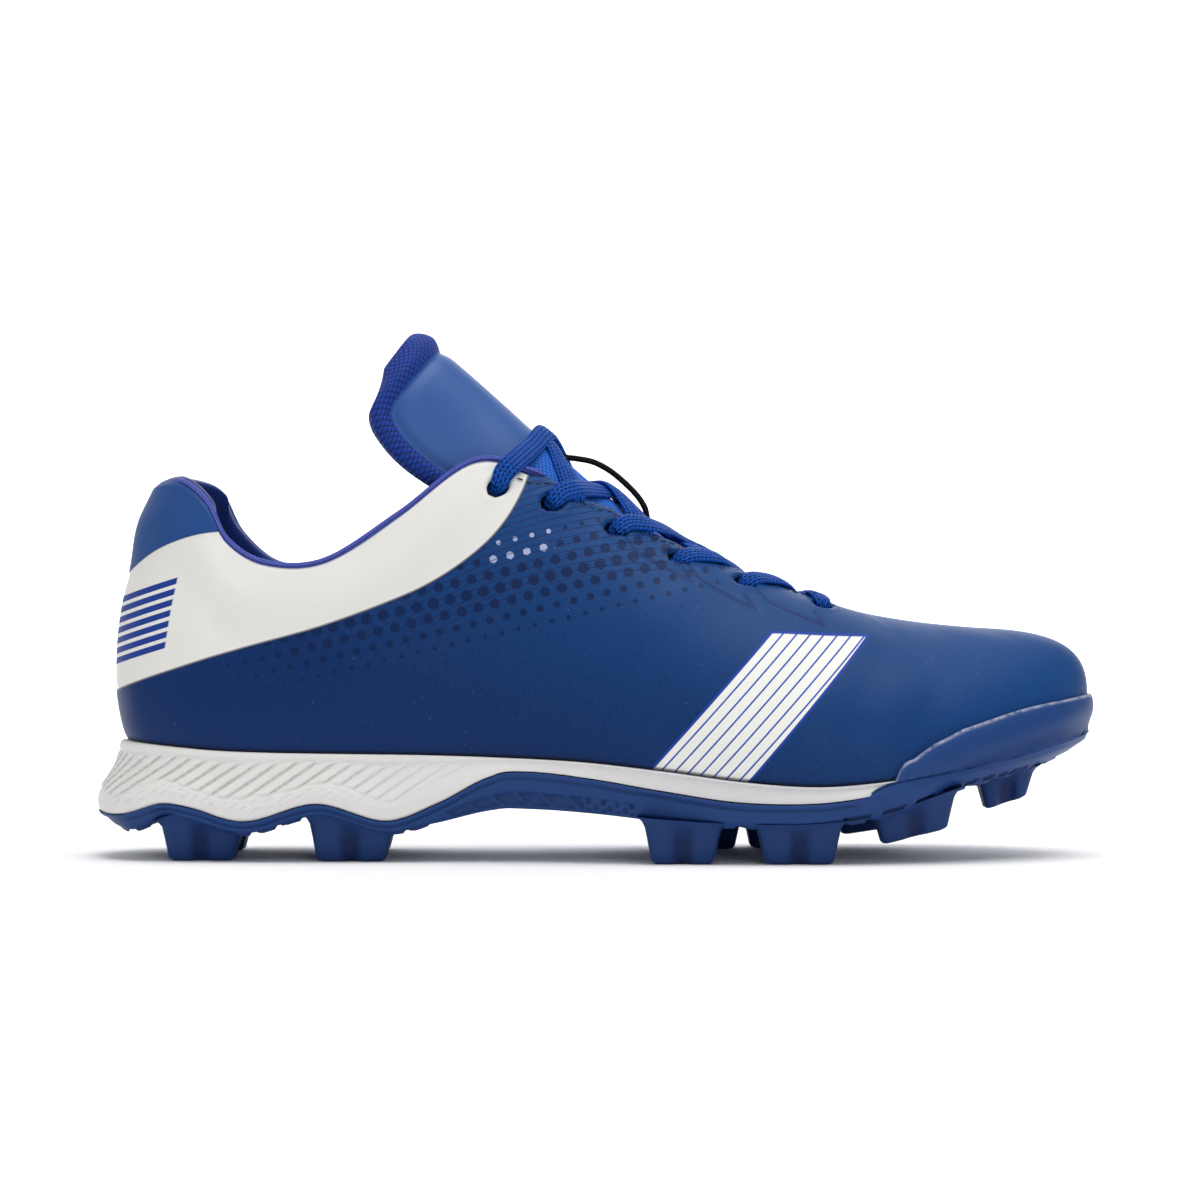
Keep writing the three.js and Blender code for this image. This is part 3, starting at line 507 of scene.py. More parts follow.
def creases(flat, base, side, uu):
    total = np.zeros(flat.shape[:-1])
    for x, z, half, angle, wide, depth in CREASES:
        a = math.radians(angle)
        dx, dz = flat[..., 0] - x - side * 3.0, flat[..., 1] - z
        along, across = dx * math.cos(a) + dz * math.sin(a), -dx * math.sin(a) + dz * math.cos(a)
        across = across + 0.012 * along ** 2
        total += depth * np.exp(-((along / half) ** 2) * 1.4 - (across / wide) ** 2)
    return total


def piping_piece():
    k = np.linspace(-8.15, 8.15, 460)
    edge = top_point(k)
    inner = edge - unit(upper_normal(k, 1.0) * np.array([1, 1, 0.0])) * 1.3
    centre = mix(edge, inner, 0.75)
    tucked = smooth((1.35 - np.abs(k)) / 1.0)
    centre = mix(centre, inner, (1.2 * tucked)[:, None])
    centre[:, 2] += mix(0.55, -0.6, tucked)
    along = unit(np.gradient(centre, axis=0))
    out = unit(upper_normal(k, 1.0) * np.array([1, 1, 0.0]))
    out = unit(out - along * (out * along).sum(-1, keepdims=True))
    up = np.cross(out, along)
    up = up * np.sign(up[:, 2:3])
    ends = smooth((8.15 - np.abs(k)) / 0.1)
    rings = []
    for a in np.linspace(0, 2 * math.pi, 14, endpoint=False):
        rings.append(centre + (out * math.cos(a) + up * math.sin(a)) * (1.0 * (0.2 + 0.8 * ends))[:, None])
    verts = np.stack(rings, 1)
    dist = np.concatenate([[0], np.cumsum(np.linalg.norm(np.diff(centre, axis=0), axis=-1))])
    uv = np.stack(np.broadcast_arrays(dist[:, None], np.arange(14)[None, :] * 0.56), -1)
    faces = list(grid_faces(len(k), 14, close_cols=True))
    n = len(k) * 14
    faces += [list(range(14))[::-1], list(range(n - 14, n))]
    return make("collar_piping", verts, faces, uv=uv)


def collar_pad_piece():
    """The padded lining inside the collar: a crowned band from the piping down, pulled in at its lower seam."""
    k = np.linspace(-6.9, 6.9, 300)
    t = np.linspace(0, 1, 34)
    uu, _ = ring_side(k)
    length = 34.0
    rows = []
    for s in t:
        v = 1 - s * length / 78.0
        n = unit(upper_normal(k, v) * np.array([1, 1, 0.0]))
        wall = wall_at(uu, np.full(k.shape, v))
        crown = 1.6 * math.sin(math.pi * min(1, s * 1.0)) ** 0.6 + 0.35
        soft = 0.35 * np.sin(k * 2.1 + 1.3) * math.sin(math.pi * s)
        p = upper_point(k, np.full(k.shape, v)) - n * (wall + (crown + soft) * (0.25 + 0.75 * smooth((6.9 - np.abs(k)) / 0.6)))[:, None]
        p[:, 2] += 0.4 * (1 - s)
        rows.append(p)
    rows = np.array(rows)
    back = []
    for s in t[::-1]:
        v = 1 - s * length / 78.0
        n = unit(upper_normal(k, v) * np.array([1, 1, 0.0]))
        wall = wall_at(uu, np.full(k.shape, v))
        back.append(upper_point(k, np.full(k.shape, v)) - n * (wall - 0.6)[:, None])
    rows = np.concatenate([rows, np.array(back)])
    m = len(k)
    faces = list(grid_faces(len(rows), m, close_rows=True, flip=True))
    first = [r * m for r in range(len(rows))]
    last = [r * m + m - 1 for r in range(len(rows))]
    faces += [first, last[::-1]]
    return make("collar_lining", rows, faces)


# ---------------------------------------------------------------- sole
def ring_steps(fine, coarse, fine_to):
    """Ring positions a given distance apart in mm, closer together as far as fine_to from the heel's middle."""
    k = np.linspace(0, RING, 6401)
    line = feather(k) + outward(k) * 3
    arc = np.concatenate([[0], np.cumsum(np.linalg.norm(np.diff(line, axis=0), axis=-1))])
    s = np.minimum(arc, arc[-1] - arc)
    each = mix(1 / fine, 1 / coarse, smooth((s - fine_to) / 10))
    total = np.concatenate([[0], np.cumsum((each[1:] + each[:-1]) / 2 * np.diff(arc))])
    count = 2 * int(total[-1] / 2)
    place = np.interp(np.arange(count) * total[-1] / count, total, k)
    return place, np.interp(place, k, s)


RIB_PITCH, RIB_LEAN, RIB_DEPTH = 5.6, 1.46, 0.95  # along the side, run for each mm of height, depth
RIB_FOOT, DASH_FOOT = 6.2, 1.8  # the ribs and the fine dashes below them start so far above the plate


def midsole_piece():
    k, s = ring_steps(0.42, 1.2, 150)
    around = len(k)
    seat, foam, plate, bulge, tread = sole_line(k)
    u, side = ring_side(k)
    heights = np.concatenate([np.linspace(0, 0.9, 54), np.linspace(0.92, 1, 8)])
    fade = mix(1, 0.3, smooth((s - 70) / 55)) * (1 - smooth((s - 125) / 30)) * smooth((seat - foam) / 10 - 0.2)
    rows, ribs = [], []
    for h in heights:
        share = look(FOAM_SIDE, "height", "bulge", np.full(k.shape, h))
        off = mix(WELT, bulge, share)
        z = mix(foam + GAP, seat, h)
        above = (seat - foam) * h
        saw = np.mod((s - RIB_LEAN * (z - 30)) / RIB_PITCH, 1.0)
        ridge = smooth(saw / 0.62) * smooth((1 - saw) / 0.16) - 0.55 + 0.3 * np.exp(-(((saw - 0.22) / 0.09) ** 2))
        wander = RIB_FOOT + 0.7 * np.sin(s / 4.5)
        main = smooth((above - wander) / 0.7) * smooth((0.86 - h) / 0.05)
        dash = np.mod((s - RIB_LEAN * (z - 30)) / RIB_PITCH * 1.5 + 0.4, 1.0)
        fine = -0.22 * np.exp(-(((dash - 0.5) / 0.13) ** 2)) * smooth((above - DASH_FOOT) / 0.8)
        fine = fine * smooth((wander - 0.8 - above) / 0.5) * (np.mod(above + s * 0.21, 2.6) < 1.9)
        crease = -0.22 * np.exp(-(((above - wander) / 0.4) ** 2))
        lip = 0.5 * smooth((h - 0.86) / 0.05) * smooth((1.0 - h) / 0.03)
        low = -0.5 * smooth((0.04 - h) / 0.04)
        tuck = -3.2 * smooth((bumper_height(u) + 1 - h) / 0.2) * smooth((u - BUMPER["section"][0]) / 0.3)
        side_form = (RIB_DEPTH * ridge * main + fine + crease) * fade
        rows.append(side_point(k, off + side_form + lip + low + tuck, z))
        # painted shadow: marks the steep face of each rib and the fine dashes, to darken the foam's colour there
        ribs.append(fade * (main * (saw > 0.88) + 0.5 * (fine < -0.1)))
    rows.append(side_point(k, np.full(k.shape, -6.0), seat))
    under = [side_point(k, bulge - RIM - 0.5, foam + GAP)]
    rows = np.array(under + rows)
    faces = list(grid_faces(len(rows), around, close_cols=True))
    top = (len(rows) - 1) * around
    faces.append(list(range(top, top + around)))
    faces.append(list(range(around))[::-1])
    groove = np.concatenate([[np.zeros(around)], ribs, [np.zeros(around)]])
    return make("midsole_foam", rows, faces, {"groove": groove})


def bumper_height(u):
    start = BUMPER["section"][0]
    return mix(-1.0, look(BUMPER, "section", "height", np.maximum(u, start)), smooth((u - start + 0.2) / 0.3))


def side_tread(x, u, t, up, down):
    """What is cut into the plate's side, in mm: lines under the foam, cells at the waist, slots at the toe; and a mask
    of painted shade in these recesses.
    """
    under_foam = 1 - smooth((u - 11.2) / 0.5)
    lines = (0.4 * np.exp(-(((down - 0.7) / 0.4) ** 2)) - 0.45 * np.exp(-(((down - 1.7) / 0.35) ** 2))) * under_foam
    waist = smooth((x + 46) / 5) * smooth((14 - x) / 4)
    step = -0.9 * smooth((0.5 - t) / 0.06) * waist
    bars = np.abs(np.mod((x + 1.1 * up) / 7.5, 1) - 0.5) * 2
    bricks = np.abs(np.mod((x + 2.1 * np.floor(up / 1.5)) / 4.2, 1) - 0.5) * 2
    wall = np.where(x < -4, smooth((0.3 - bars) / 0.12), smooth((bricks - 0.2) / 0.15))
    frame = np.maximum(wall, np.maximum(smooth((0.12 - t) / 0.03), smooth((t - 0.4) / 0.03)))
    cells = -1.0 * (1 - frame) * smooth((0.5 - t) / 0.03) * waist
    # slots between the small lugs under the toe, closer together towards its tip
    run = -5.79 * np.log(np.maximum(1 - 0.01329 * (x - 70), 0.05))
    slot = smooth((0.36 - np.abs(np.mod(run, 1) - 0.5)) / 0.05) * smooth((x - 68) / 2) * smooth((130 - x) / 2)
    slot = slot * smooth((up - 0.3) / 0.3) * smooth((1.9 - up) / 0.3)
    return lines + step + cells - 1.3 * slot, np.clip(slot + 0.3 * (-cells) + 0.5 * (lines < -0.2), 0, 1)


def outsole_piece():
    around = 1200
    k = np.arange(around) * RING / around
    seat, foam, plate, bulge, tread = sole_line(k)
    u, side = ring_side(k)
    high = bumper_height(u)
    out = outward(k)

    def skin(q, off):
        low = side_point(k, np.where(q <= 0, mix(off, off - GAP - RIM + bulge, np.clip(-q, 0, 1)), 0.0),
                         mix(seat, foam, np.clip(-q, 0, 1)))
        rib = upper_point(k, np.clip(q, 0, 1)) + upper_normal(k, np.clip(q, 0.001, 1)) * np.asarray(off)[..., None]
        blend_in = smooth(q / 0.02 + 0.5)[..., None]
        return low * (1 - blend_in) + rib * blend_in

    rows, hollow, dust = [], [], []
    x = feather(k)[:, 0]
    for t in np.linspace(0, 1, 26):  # from the floor of the plate up to the foam line
        off = mix(tread, bulge, smooth(t * 0.9) * 0.4 + t * 0.6) - 1.4 * (1 - smooth(t / 0.2))
        z = mix(plate, foam, t)
        cut, dark = side_tread(x, u, t, z - plate, foam - z)
        rows.append(side_point(k, off + cut, z))
        # painted shade in the plate's slots, cells and cut lines
        hollow.append(dark)
        dust.append(np.zeros(around))
    for t in np.concatenate([np.linspace(0.06, 0.6, 6), np.linspace(0.66, 1, 16)]):
        q = mix(-1.0, high, t)
        rise = smooth((high + 1) / 0.3)
        bead = 0.4 * np.exp(-(((t - 0.93) / 0.035) ** 2)) - 0.35 * np.exp(-(((t - 0.86) / 0.03) ** 2))
        bead = bead + 0.25 * np.exp(-(((t - 0.8) / 0.03) ** 2))
        off = GAP + mix(RIM, RIM_TOP, t) + bead * rise - 0.5 * smooth((t - 0.97) / 0.03)
        rows.append(skin(q, off))
        # painted shadow line in the narrow dip below the bumper's top bead
        hollow.append(0.35 * rise * (np.abs(t - 0.86) < 0.02))
        # marks the pale line along the bumper's top edge, made patchy in the rubber's colour
        dust.append(rise * (t > 0.99))
    dust.append(np.zeros(around))
    dust.append(smooth((high + 1) / 0.3))
    rows.append(skin(high, np.full(k.shape, GAP + 0.9)))
    for t, off in ((1.0, GAP + 0.15), (0.7, GAP), (0.4, GAP)):
        rows.append(skin(mix(-1.0, high, t), np.full(k.shape, off)))
    rows.append(side_point(k, bulge - RIM, foam - 1.0))
    rows.append(side_point(k, bulge - RIM - 4, np.full(k.shape, 0.0) + plate + PLATE))
    rows = np.array(rows)
    fill = lambda a: np.ravel(a + [np.zeros(around)] * (len(rows) - len(a)))
    faces = list(grid_faces(len(rows), around, close_cols=True))
    verts = rows.reshape(-1, 3)
    # lower face: strips from side to side, with tread bars near the edge
    half = around // 2
    n = 36
    w = np.linspace(0, 1, n)
    pairs = []
    for i in range(half + 1):
        a, b = rows[0, i], rows[0, (around - i) % around]
        line = a[None, :] * (1 - w)[:, None] + b[None, :] * w[:, None]
        edge = np.minimum(w, 1 - w) * np.linalg.norm(a - b)
        x = line[:, 0]
        bars = (np.mod(x / 7.5 + edge * 0.03, 1) < 0.55) * smooth((edge - 1.2) / 0.8) * smooth((15 - edge) / 1.5)
        waist = smooth((np.abs(x + 12) - 30) / 12)
        line[:, 2] += -0.9 * bars * waist + 0.9 * smooth((edge - 17) / 5) * (0.3 + 0.7 * waist)
        pairs.append(line)
    bottom = np.array(pairs)
    base = len(verts)
    faces += list(grid_faces(half + 1, n, base=base, flip=False))
    top_row = len(rows) - 1
    faces.append([top_row * around + i for i in range(around)])
    verts = np.concatenate([verts, bottom.reshape(-1, 3)])
    none = np.zeros(bottom.shape[0] * n)
    attributes = {"hollow": np.concatenate([fill(hollow), none]), "dust": np.concatenate([fill(dust), none])}
    return make("outsole_plate", verts, faces, attributes, weld=0.01)


STUDS = [  # at, side, long, wide, lift, tilt
    (0.112, -0.235, 19, 11, 0, 0),
    (0.108, 0.235, 19, 11, 0, 0),
    (0.26, -0.27, 20, 11, 0, 0),
    (0.255, 0.245, 20, 11, 0, 0),
    (0.585, -0.4, 18, 11, 0, 0),
    (0.615, 0.34, 17, 11, 0, 0),
    (0.698, -0.41, 20, 11, 0, 0),
    (0.692, 0.395, 19, 11, 0, 0),
    (0.812, -0.335, 19, 11, 0.155, 0.25),
    (0.785, 0.375, 18, 11, 0.12, 0.15),
    (0.908, -0.12, 12, 11, 0.425, 0.33),
    (0.917, 0.2, 12, 11, 0.42, 0.33),
]


def studs_piece():
    verts, faces, hollow = [], [], []
    n = 72
    a = np.linspace(0, 2 * math.pi, n, endpoint=False)
    for at, side, long, wide, lift, tilt in STUDS:
        x0, y0 = (at - 0.5) * LENGTH, side * BALL
        plate_at = lambda x: look(SOLE, "at", "plate", x / LENGTH + 0.5) * SEAT
        base = len(verts)
        levels = [(-0.02, -2.6), (0.0, -1.3), (0.03, -0.45), (0.08, 0.0), (0.3, 0), (0.55, 0), (0.8, 0.05), (0.92, 0.6), (1.02, 1.9)]
        for h, extra in levels:
            grow = 2.6 * np.clip(h, 0, 1) + extra
            hl, hw = long / 2 + grow, wide / 2 + grow
            p = 7.0
            r = (np.abs(np.cos(a)) ** p + np.abs(np.sin(a)) ** p) ** (-1 / p)
            x, y = np.cos(a) * r * hl, np.sin(a) * r * hw
            outer = math.copysign(1.0, side)
            channel = np.exp(-((x / 2.6) ** 4)) * smooth((y * outer - 0.35 * hw) / (0.3 * hw)) * smooth((0.86 - h) / 0.12)
            y = y - outer * 1.9 * channel
            ends = np.exp(-((y / 2.2) ** 4)) * (np.abs(x) > 0.5 * hl) * 0.35
            x = x - np.sign(x) * ends
            tip = lift * SEAT + tilt * (x + long / 2)
            top = plate_at(x0 + x) + 0.6
            z = tip + (top - tip) * np.clip(h, 0, 1.05)
            verts += np.stack([x0 + x, y0 + y, z], -1).tolist()
            # painted shade: the studs slightly darker all over and darkest in their channels
            hollow += (0.35 + 0.6 * channel).tolist()
        faces += list(grid_faces(len(levels), n, close_cols=True, base=base))
        faces.append([base + i for i in range(n)][::-1])
    return make("outsole_studs", verts, faces, {"hollow": hollow})


def insole_piece():
    around = 240
    k = np.arange(around) * RING / around
    seat = feather(k)[:, 2]
    inset = -(WALL + GAP)
    rows = []
    for off, z in ((0, 0), (0, 3.2), (-0.5, 3.8), (-1.4, 4.0), (-8, 3.4), (-14, 3.0)):
        rows.append(side_point(k, np.full(k.shape, inset + off), seat + GAP + z))
    rows = np.array(rows)
    faces = list(grid_faces(len(rows), around, close_cols=True))
    half = around // 2
    top = (len(rows) - 1) * around
    for i in range(half):
        faces.append([top + i, top + i + 1, top + (around - 1 - i) % around, top + (around - i) % around])
        faces.append([(around - i) % around, (around - 1 - i) % around, i + 1, i][:4])
    return make("footbed", rows, [f for f in faces if len(set(map(int, f))) > 2])


# ---------------------------------------------------------------- tongue
TONGUE_RIM = (3.2, 10.0)  # width of the knitted roll along the sides and at the tip


def tongue_piece():
    tall, wide = 130, 90
    t = np.linspace(0, 1, tall)
    w = np.sin(np.linspace(-1, 1, wide) * math.pi / 2) * 0.35 + np.linspace(-1, 1, wide) * 0.65
    tt, ww = np.meshgrid(t, w, indexing="ij")
    free = smooth((tt - 0.5) / 0.3)
    full = np.sqrt(np.clip(np.minimum(np.minimum(1, tt * 8), (1 - tt) * 8 + 0.1), 0.1, 1))
    rolled = 5.0 + 3.0 * free * smooth((np.abs(ww) - 0.4) / 0.4)
    thick = rolled * full * np.sqrt(np.clip(1 - 0.8 * ww ** 8, 0.05, 1))
    # distance in from the free edge, which carries the knitted roll
    mid, normal, half, droop = tongue_frame(t)
    arc = (1 - np.abs(ww)) * (half * 1.45)[:, None]
    down = np.concatenate([np.cumsum(np.linalg.norm(np.diff(mid[::-1], axis=0), axis=-1))[::-1], [0]])
    side_share = arc / TONGUE_RIM[0]
    tip_share = (down[:, None] + 0.0 * arc) / TONGUE_RIM[1]
    rim = side_share * tip_share / (side_share ** 3 + tip_share ** 3 + 1e-9) ** (1 / 3)  # 0 at the edge, 1 at the seam
    on_rim = (1 - rim) * TONGUE_RIM[0]
    roll = 1.5 * np.sqrt(np.sin(math.pi * np.clip(rim, 0, 1)) + 1e-9) * smooth((tt - 0.45) / 0.2)
    seam = -0.9 * np.exp(-(((rim - 1) * TONGUE_RIM[0] / 0.8) ** 2)) * smooth((tt - 0.4) / 0.2)
    face = tongue_point(tt, ww, (rolled - thick) / 2 - roll - seam)
    back = tongue_point(tt, ww, (rolled + thick) / 2 + 0.5 * roll)
    rows = np.concatenate([face, back[:, ::-1]], axis=1)
    cols = rows.shape[1]
    faces = list(grid_faces(tall, cols, close_cols=True))
    faces += [list(range(cols))[::-1], list(range((tall - 1) * cols, tall * cols))]
    both = lambda a, b: np.concatenate([a, b], axis=1)
    attributes = {
        "rim": both(on_rim, np.full(on_rim.shape, 20.0)),
        "along": both(np.repeat(down[:, None], wide, 1), np.repeat(down[:, None], wide, 1)),
        "across": both(ww * half[:, None], (ww * half[:, None])[:, ::-1]), "back": both(np.zeros(ww.shape), np.ones(ww.shape)),
    }
    return make("tongue_pad", rows, faces, attributes)


# ---------------------------------------------------------------- laces
def tongue_at(x):
    t = np.linspace(0, 1, 400)
    mid, normal, _, _ = tongue_frame(t)
    i = int(np.argmin(np.abs(mid[:, 0] - x)))
    return mid[i], normal[i], t[i]


LACE_RIB = 1.32


def flat_lace(name, stops, widths, samples=90):
    """A flat woven lace through stops (point, normal of what it lies on)."""
    points = np.array([p for p, _ in stops], float)
    lean = np.array([n for _, n in stops], float)
    u = np.linspace(0, len(points) - 1, samples)
    path = np.stack([spline(points[:, i], u) for i in range(3)], -1)
    up = unit(np.stack([spline(lean[:, i], u) for i in range(3)], -1))
    width = spline(np.array(widths, float), u)
    along = unit(np.gradient(path, axis=0))
    across = unit(np.cross(along, up))
    top = np.cross(across, along)
    ring = 48
    a = np.linspace(0, 2 * math.pi, ring, endpoint=False)
    px = np.sign(np.cos(a)) * np.abs(np.cos(a)) ** 0.85
    pz = np.sign(np.sin(a)) * np.abs(np.sin(a)) ** 0.8
    pz = pz + 0.16 * np.abs(np.sin(math.pi * px * 3.3 / LACE_RIB)) * np.sin(a)
    dist = np.concatenate([[0], np.cumsum(np.linalg.norm(np.diff(path, axis=0), axis=-1))])
    flat = 0.85 * np.clip(6.6 / width, 1, 1.5)
    verts = (path[:, None] + across[:, None] * (px[None, :, None] * width[:, None, None] / 2)
             + top[:, None] * (pz[None, :, None] * flat[:, None, None]))
    uv = np.stack(np.broadcast_arrays(dist[:, None], px[None, :] * 3.3 + 0.0), -1)
    sheet = np.broadcast_to(np.where(pz >= 0, 1.0, -1.0)[None, :], verts.shape[:2])
    faces = list(grid_faces(samples, ring, close_cols=True, flip=True))
    n = samples * ring
    faces += [list(range(ring)), list(range(n - ring, n))[::-1]]
    return verts, faces, uv, sheet


def strap_stops(hole, u, side, from_u, over):
    p, n, _ = eyelet_place(hole, side)
    q, m, _ = eyelet_place(mix(hole, u, 0.5), side, EYELET_INSET - 4.0)
    edge_k = ring_place(u + 0.06, side)
    edge = top_point(edge_k)
    edge_n = upper_normal(edge_k, 0.97)
    far_k = ring_place(from_u, -side)
    far = top_point(far_k)
    mid, normal, _ = tongue_at((edge[0] + far[0]) / 2)
    centre = mid + normal * (1.2 + 1.5 * over)
    far_top = far + np.array([0.0, side * 3.0, 0.6])
    far_in = far + np.array([1.5, -side * 3.0, -3.4])
    tilted = unit(np.array([0.15, -side * 0.45, 1.0]))
    quarter_a = mix(centre, far_top, 0.55) + normal * 0.6
    quarter_b = mix(centre, edge + edge_n * 1.2, 0.5) + normal * (0.4 + 0.3 * over)
    stops = [(far_in, tilted), (far_top, tilted), (quarter_a, unit(normal + tilted)), (centre, normal),
             (quarter_b, unit(normal + edge_n)), (edge + edge_n * 1.3, edge_n), (q + m * 1.25, m),
             (mix(p, q, 0.3) + n * 0.6, unit(n + unit(q - p) * 0.3)), (mix(p, q, -0.1) - n * 2.6, unit(n + unit(q - p) * 0.7))]
    return stops, [5.6, 6.2, 6.6, 6.6, 6.6, 6.5, 6.3, 5.4, 4.4]


def lace_pieces():
    pieces = []
    last = HOLES[-1]
    for i, u in enumerate(EYELETS[:-1]):
        from_u = min(EYELETS[i + 1], EYELETS[-1] - 0.35)
        verts, faces, uvs = [], [], []
        for side, over in ((-1, 1.0 if i % 2 == 0 else 0.0), (1, 0.0 if i % 2 == 0 else 1.0)):
            stops, widths = strap_stops(HOLES[i], u, side, from_u, over)
            v, f, uv, _ = flat_lace("", stops, widths)
            faces += [[x + len(verts) for x in q] for q in f]
            verts += v.reshape(-1, 3).tolist()
            uvs += uv.reshape(-1, 2).tolist()
        pieces.append((make(f"lace_run_{i + 1}", verts, faces, uv=uvs), f"lace_cross_{i + 1}"))
    stops = []
    for side in (-1, 1):
        p, n, k = eyelet_place(last, side)
        q, m, _ = eyelet_place(last, side, EYELET_INSET - 3.6)
        e, en, _ = eyelet_place(last, side, 1.0)
        part = [(p - n * 2.6 + (p - q) * 0.2, n), (p + n * 0.5, n), (q + m * 1.3, m), (e + en * 1.3, en)]
        stops += part if side < 0 else part[::-1]
    verts, faces, uv, _ = flat_lace("", stops, [4.2, 4.6, 6.2, 6.6, 6.6, 6.2, 4.6, 4.2])
    pieces.append((make("lace_run_0", verts, faces, uv=uv), "lace_bar"))
    return pieces


def round_cord(name, points, radius, samples=120, ring=10):
    points = np.array(points, float)
    u = np.linspace(0, len(points) - 1, samples)
    path = np.stack([spline(points[:, i], u) for i in range(3)], -1)
    along = unit(np.gradient(path, axis=0))
    across = unit(np.cross(along, np.array([0, 1.0, 0.02])))
    third = np.cross(across, along)
    a = np.linspace(0, 2 * math.pi, ring, endpoint=False)
    verts = path[:, None] + radius * (across[:, None] * np.cos(a)[None, :, None] + third[:, None] * np.sin(a)[None, :, None])
    dist = np.concatenate([[0], np.cumsum(np.linalg.norm(np.diff(path, axis=0), axis=-1))])
    uv = np.stack(np.broadcast_arrays(dist[:, None], np.arange(ring)[None, :] * 0.5), -1)
    faces = list(grid_faces(samples, ring, close_cols=True))
    n = samples * ring
    faces += [list(range(ring))[::-1], list(range(n - ring, n))]
    return make(name, verts, faces, uv=uv)


# ---------------------------------------------------------------- stitches along the throat edge
def stitch_tree(length, width, pitch):
    """Short thread stitches laid along a path."""
    tree = bpy.data.node_groups.new("throat_stitches", "GeometryNodeTree")
    face = tree.interface
    face.new_socket(name="Path", in_out="INPUT", socket_type="NodeSocketGeometry")
    for name, value in (("Stitch length", length), ("Thread width", width), ("Pitch", pitch)):
        face.new_socket(name=name, in_out="INPUT", socket_type="NodeSocketFloat").default_value = value
    face.new_socket(name="Thread", in_out="INPUT", socket_type="NodeSocketMaterial")
    face.new_socket(name="Geometry", in_out="OUTPUT", socket_type="NodeSocketGeometry")
    start = add(tree, "NodeGroupInput")
    curve = add(tree, "GeometryNodeMeshToCurve", {0: (start, "Path")})
    spots = add(tree, "GeometryNodeCurveToPoints", {"Curve": (curve, 0), "Length": (start, "Pitch")}, mode="LENGTH")
    size = add(tree, "ShaderNodeCombineXYZ", {"X": (start, "Thread width"), "Y": (start, "Thread width"), "Z": (start, "Stitch length")})
    ball = add(tree, "GeometryNodeMeshIcoSphere", {"Radius": 0.5, "Subdivisions": 2})
    placed = add(tree, "GeometryNodeInstanceOnPoints", {"Points": (spots, "Points"), "Instance": (ball, "Mesh"),
                                                       "Rotation": (spots, "Rotation"), "Scale": (size, 0)})
    real = add(tree, "GeometryNodeRealizeInstances", {0: (placed, 0)})
    coat = add(tree, "GeometryNodeSetMaterial", {"Geometry": (real, 0), "Material": (start, "Thread")})
    add(tree, "NodeGroupOutput", {"Geometry": (coat, 0)})
    return tree


def stitches_piece(thread):
    """Dashed stitches that follow the scalloped edge between the eyelets, on both sides of the throat."""
    verts, edges = [], []
    for side in (-1, 1):
        for a, b in zip(HOLES[:-1], HOLES[1:]):
            t = np.linspace(0.1, 0.9, 30)
            base = len(verts)
            for s in t:
                u = mix(a, b, s)
                dip = 2.1 * smooth(2.6 * min(s, 1 - s))
                k = ring_place(u, side)
                v = inset_share(k, 2.0 + dip)
                verts.append(upper_point(k, v) + upper_normal(k, v) * 0.42)
            edges += [(base + i, base + i + 1) for i in range(len(t) - 1)]
    mesh = bpy.data.meshes.new("throat_stitch_path")
    mesh.from_pydata(((np.array(verts) + SHIFT) * MM).tolist(), edges, [])
    obj = bpy.data.objects.new("throat_stitches", mesh)
    bpy.context.scene.collection.objects.link(obj)
    tree = stitch_tree(2.0 * MM, 0.5 * MM, 2.7 * MM)
    layer = obj.modifiers.new("stitches", "NODES")
    layer.node_group = tree
    for item in tree.interface.items_tree:
        if item.in_out == "INPUT" and item.name == "Thread":
            layer[item.identifier] = thread
    made = bpy.data.meshes.new_from_object(obj.evaluated_get(bpy.context.evaluated_depsgraph_get()))
    obj.modifiers.clear()
    obj.data = made
    return obj


# ---------------------------------------------------------------- materials
def ink(code):
    """An sRGB hex colour as linear light."""
    parts = [int(code[i:i + 2], 16) / 255 for i in (1, 3, 5)]
    return tuple(c / 12.92 if c <= 0.04045 else ((c + 0.055) / 1.055) ** 2.4 for c in parts) + (1.0,)


def add(tree, kind, links=None, **settings):
    """Adds a node with its settings, and links or sets its inputs."""
    node = tree.nodes.new(kind)
    for key, value in settings.items():
        setattr(node, key, value)
    for key, value in (links or {}).items():
        socket = node.inputs[key]
        if isinstance(value, tuple) and len(value) == 2 and isinstance(value[0], bpy.types.Node):
            tree.links.new(value[0].outputs[value[1]], socket)
        else:
            socket.default_value = value
    return node


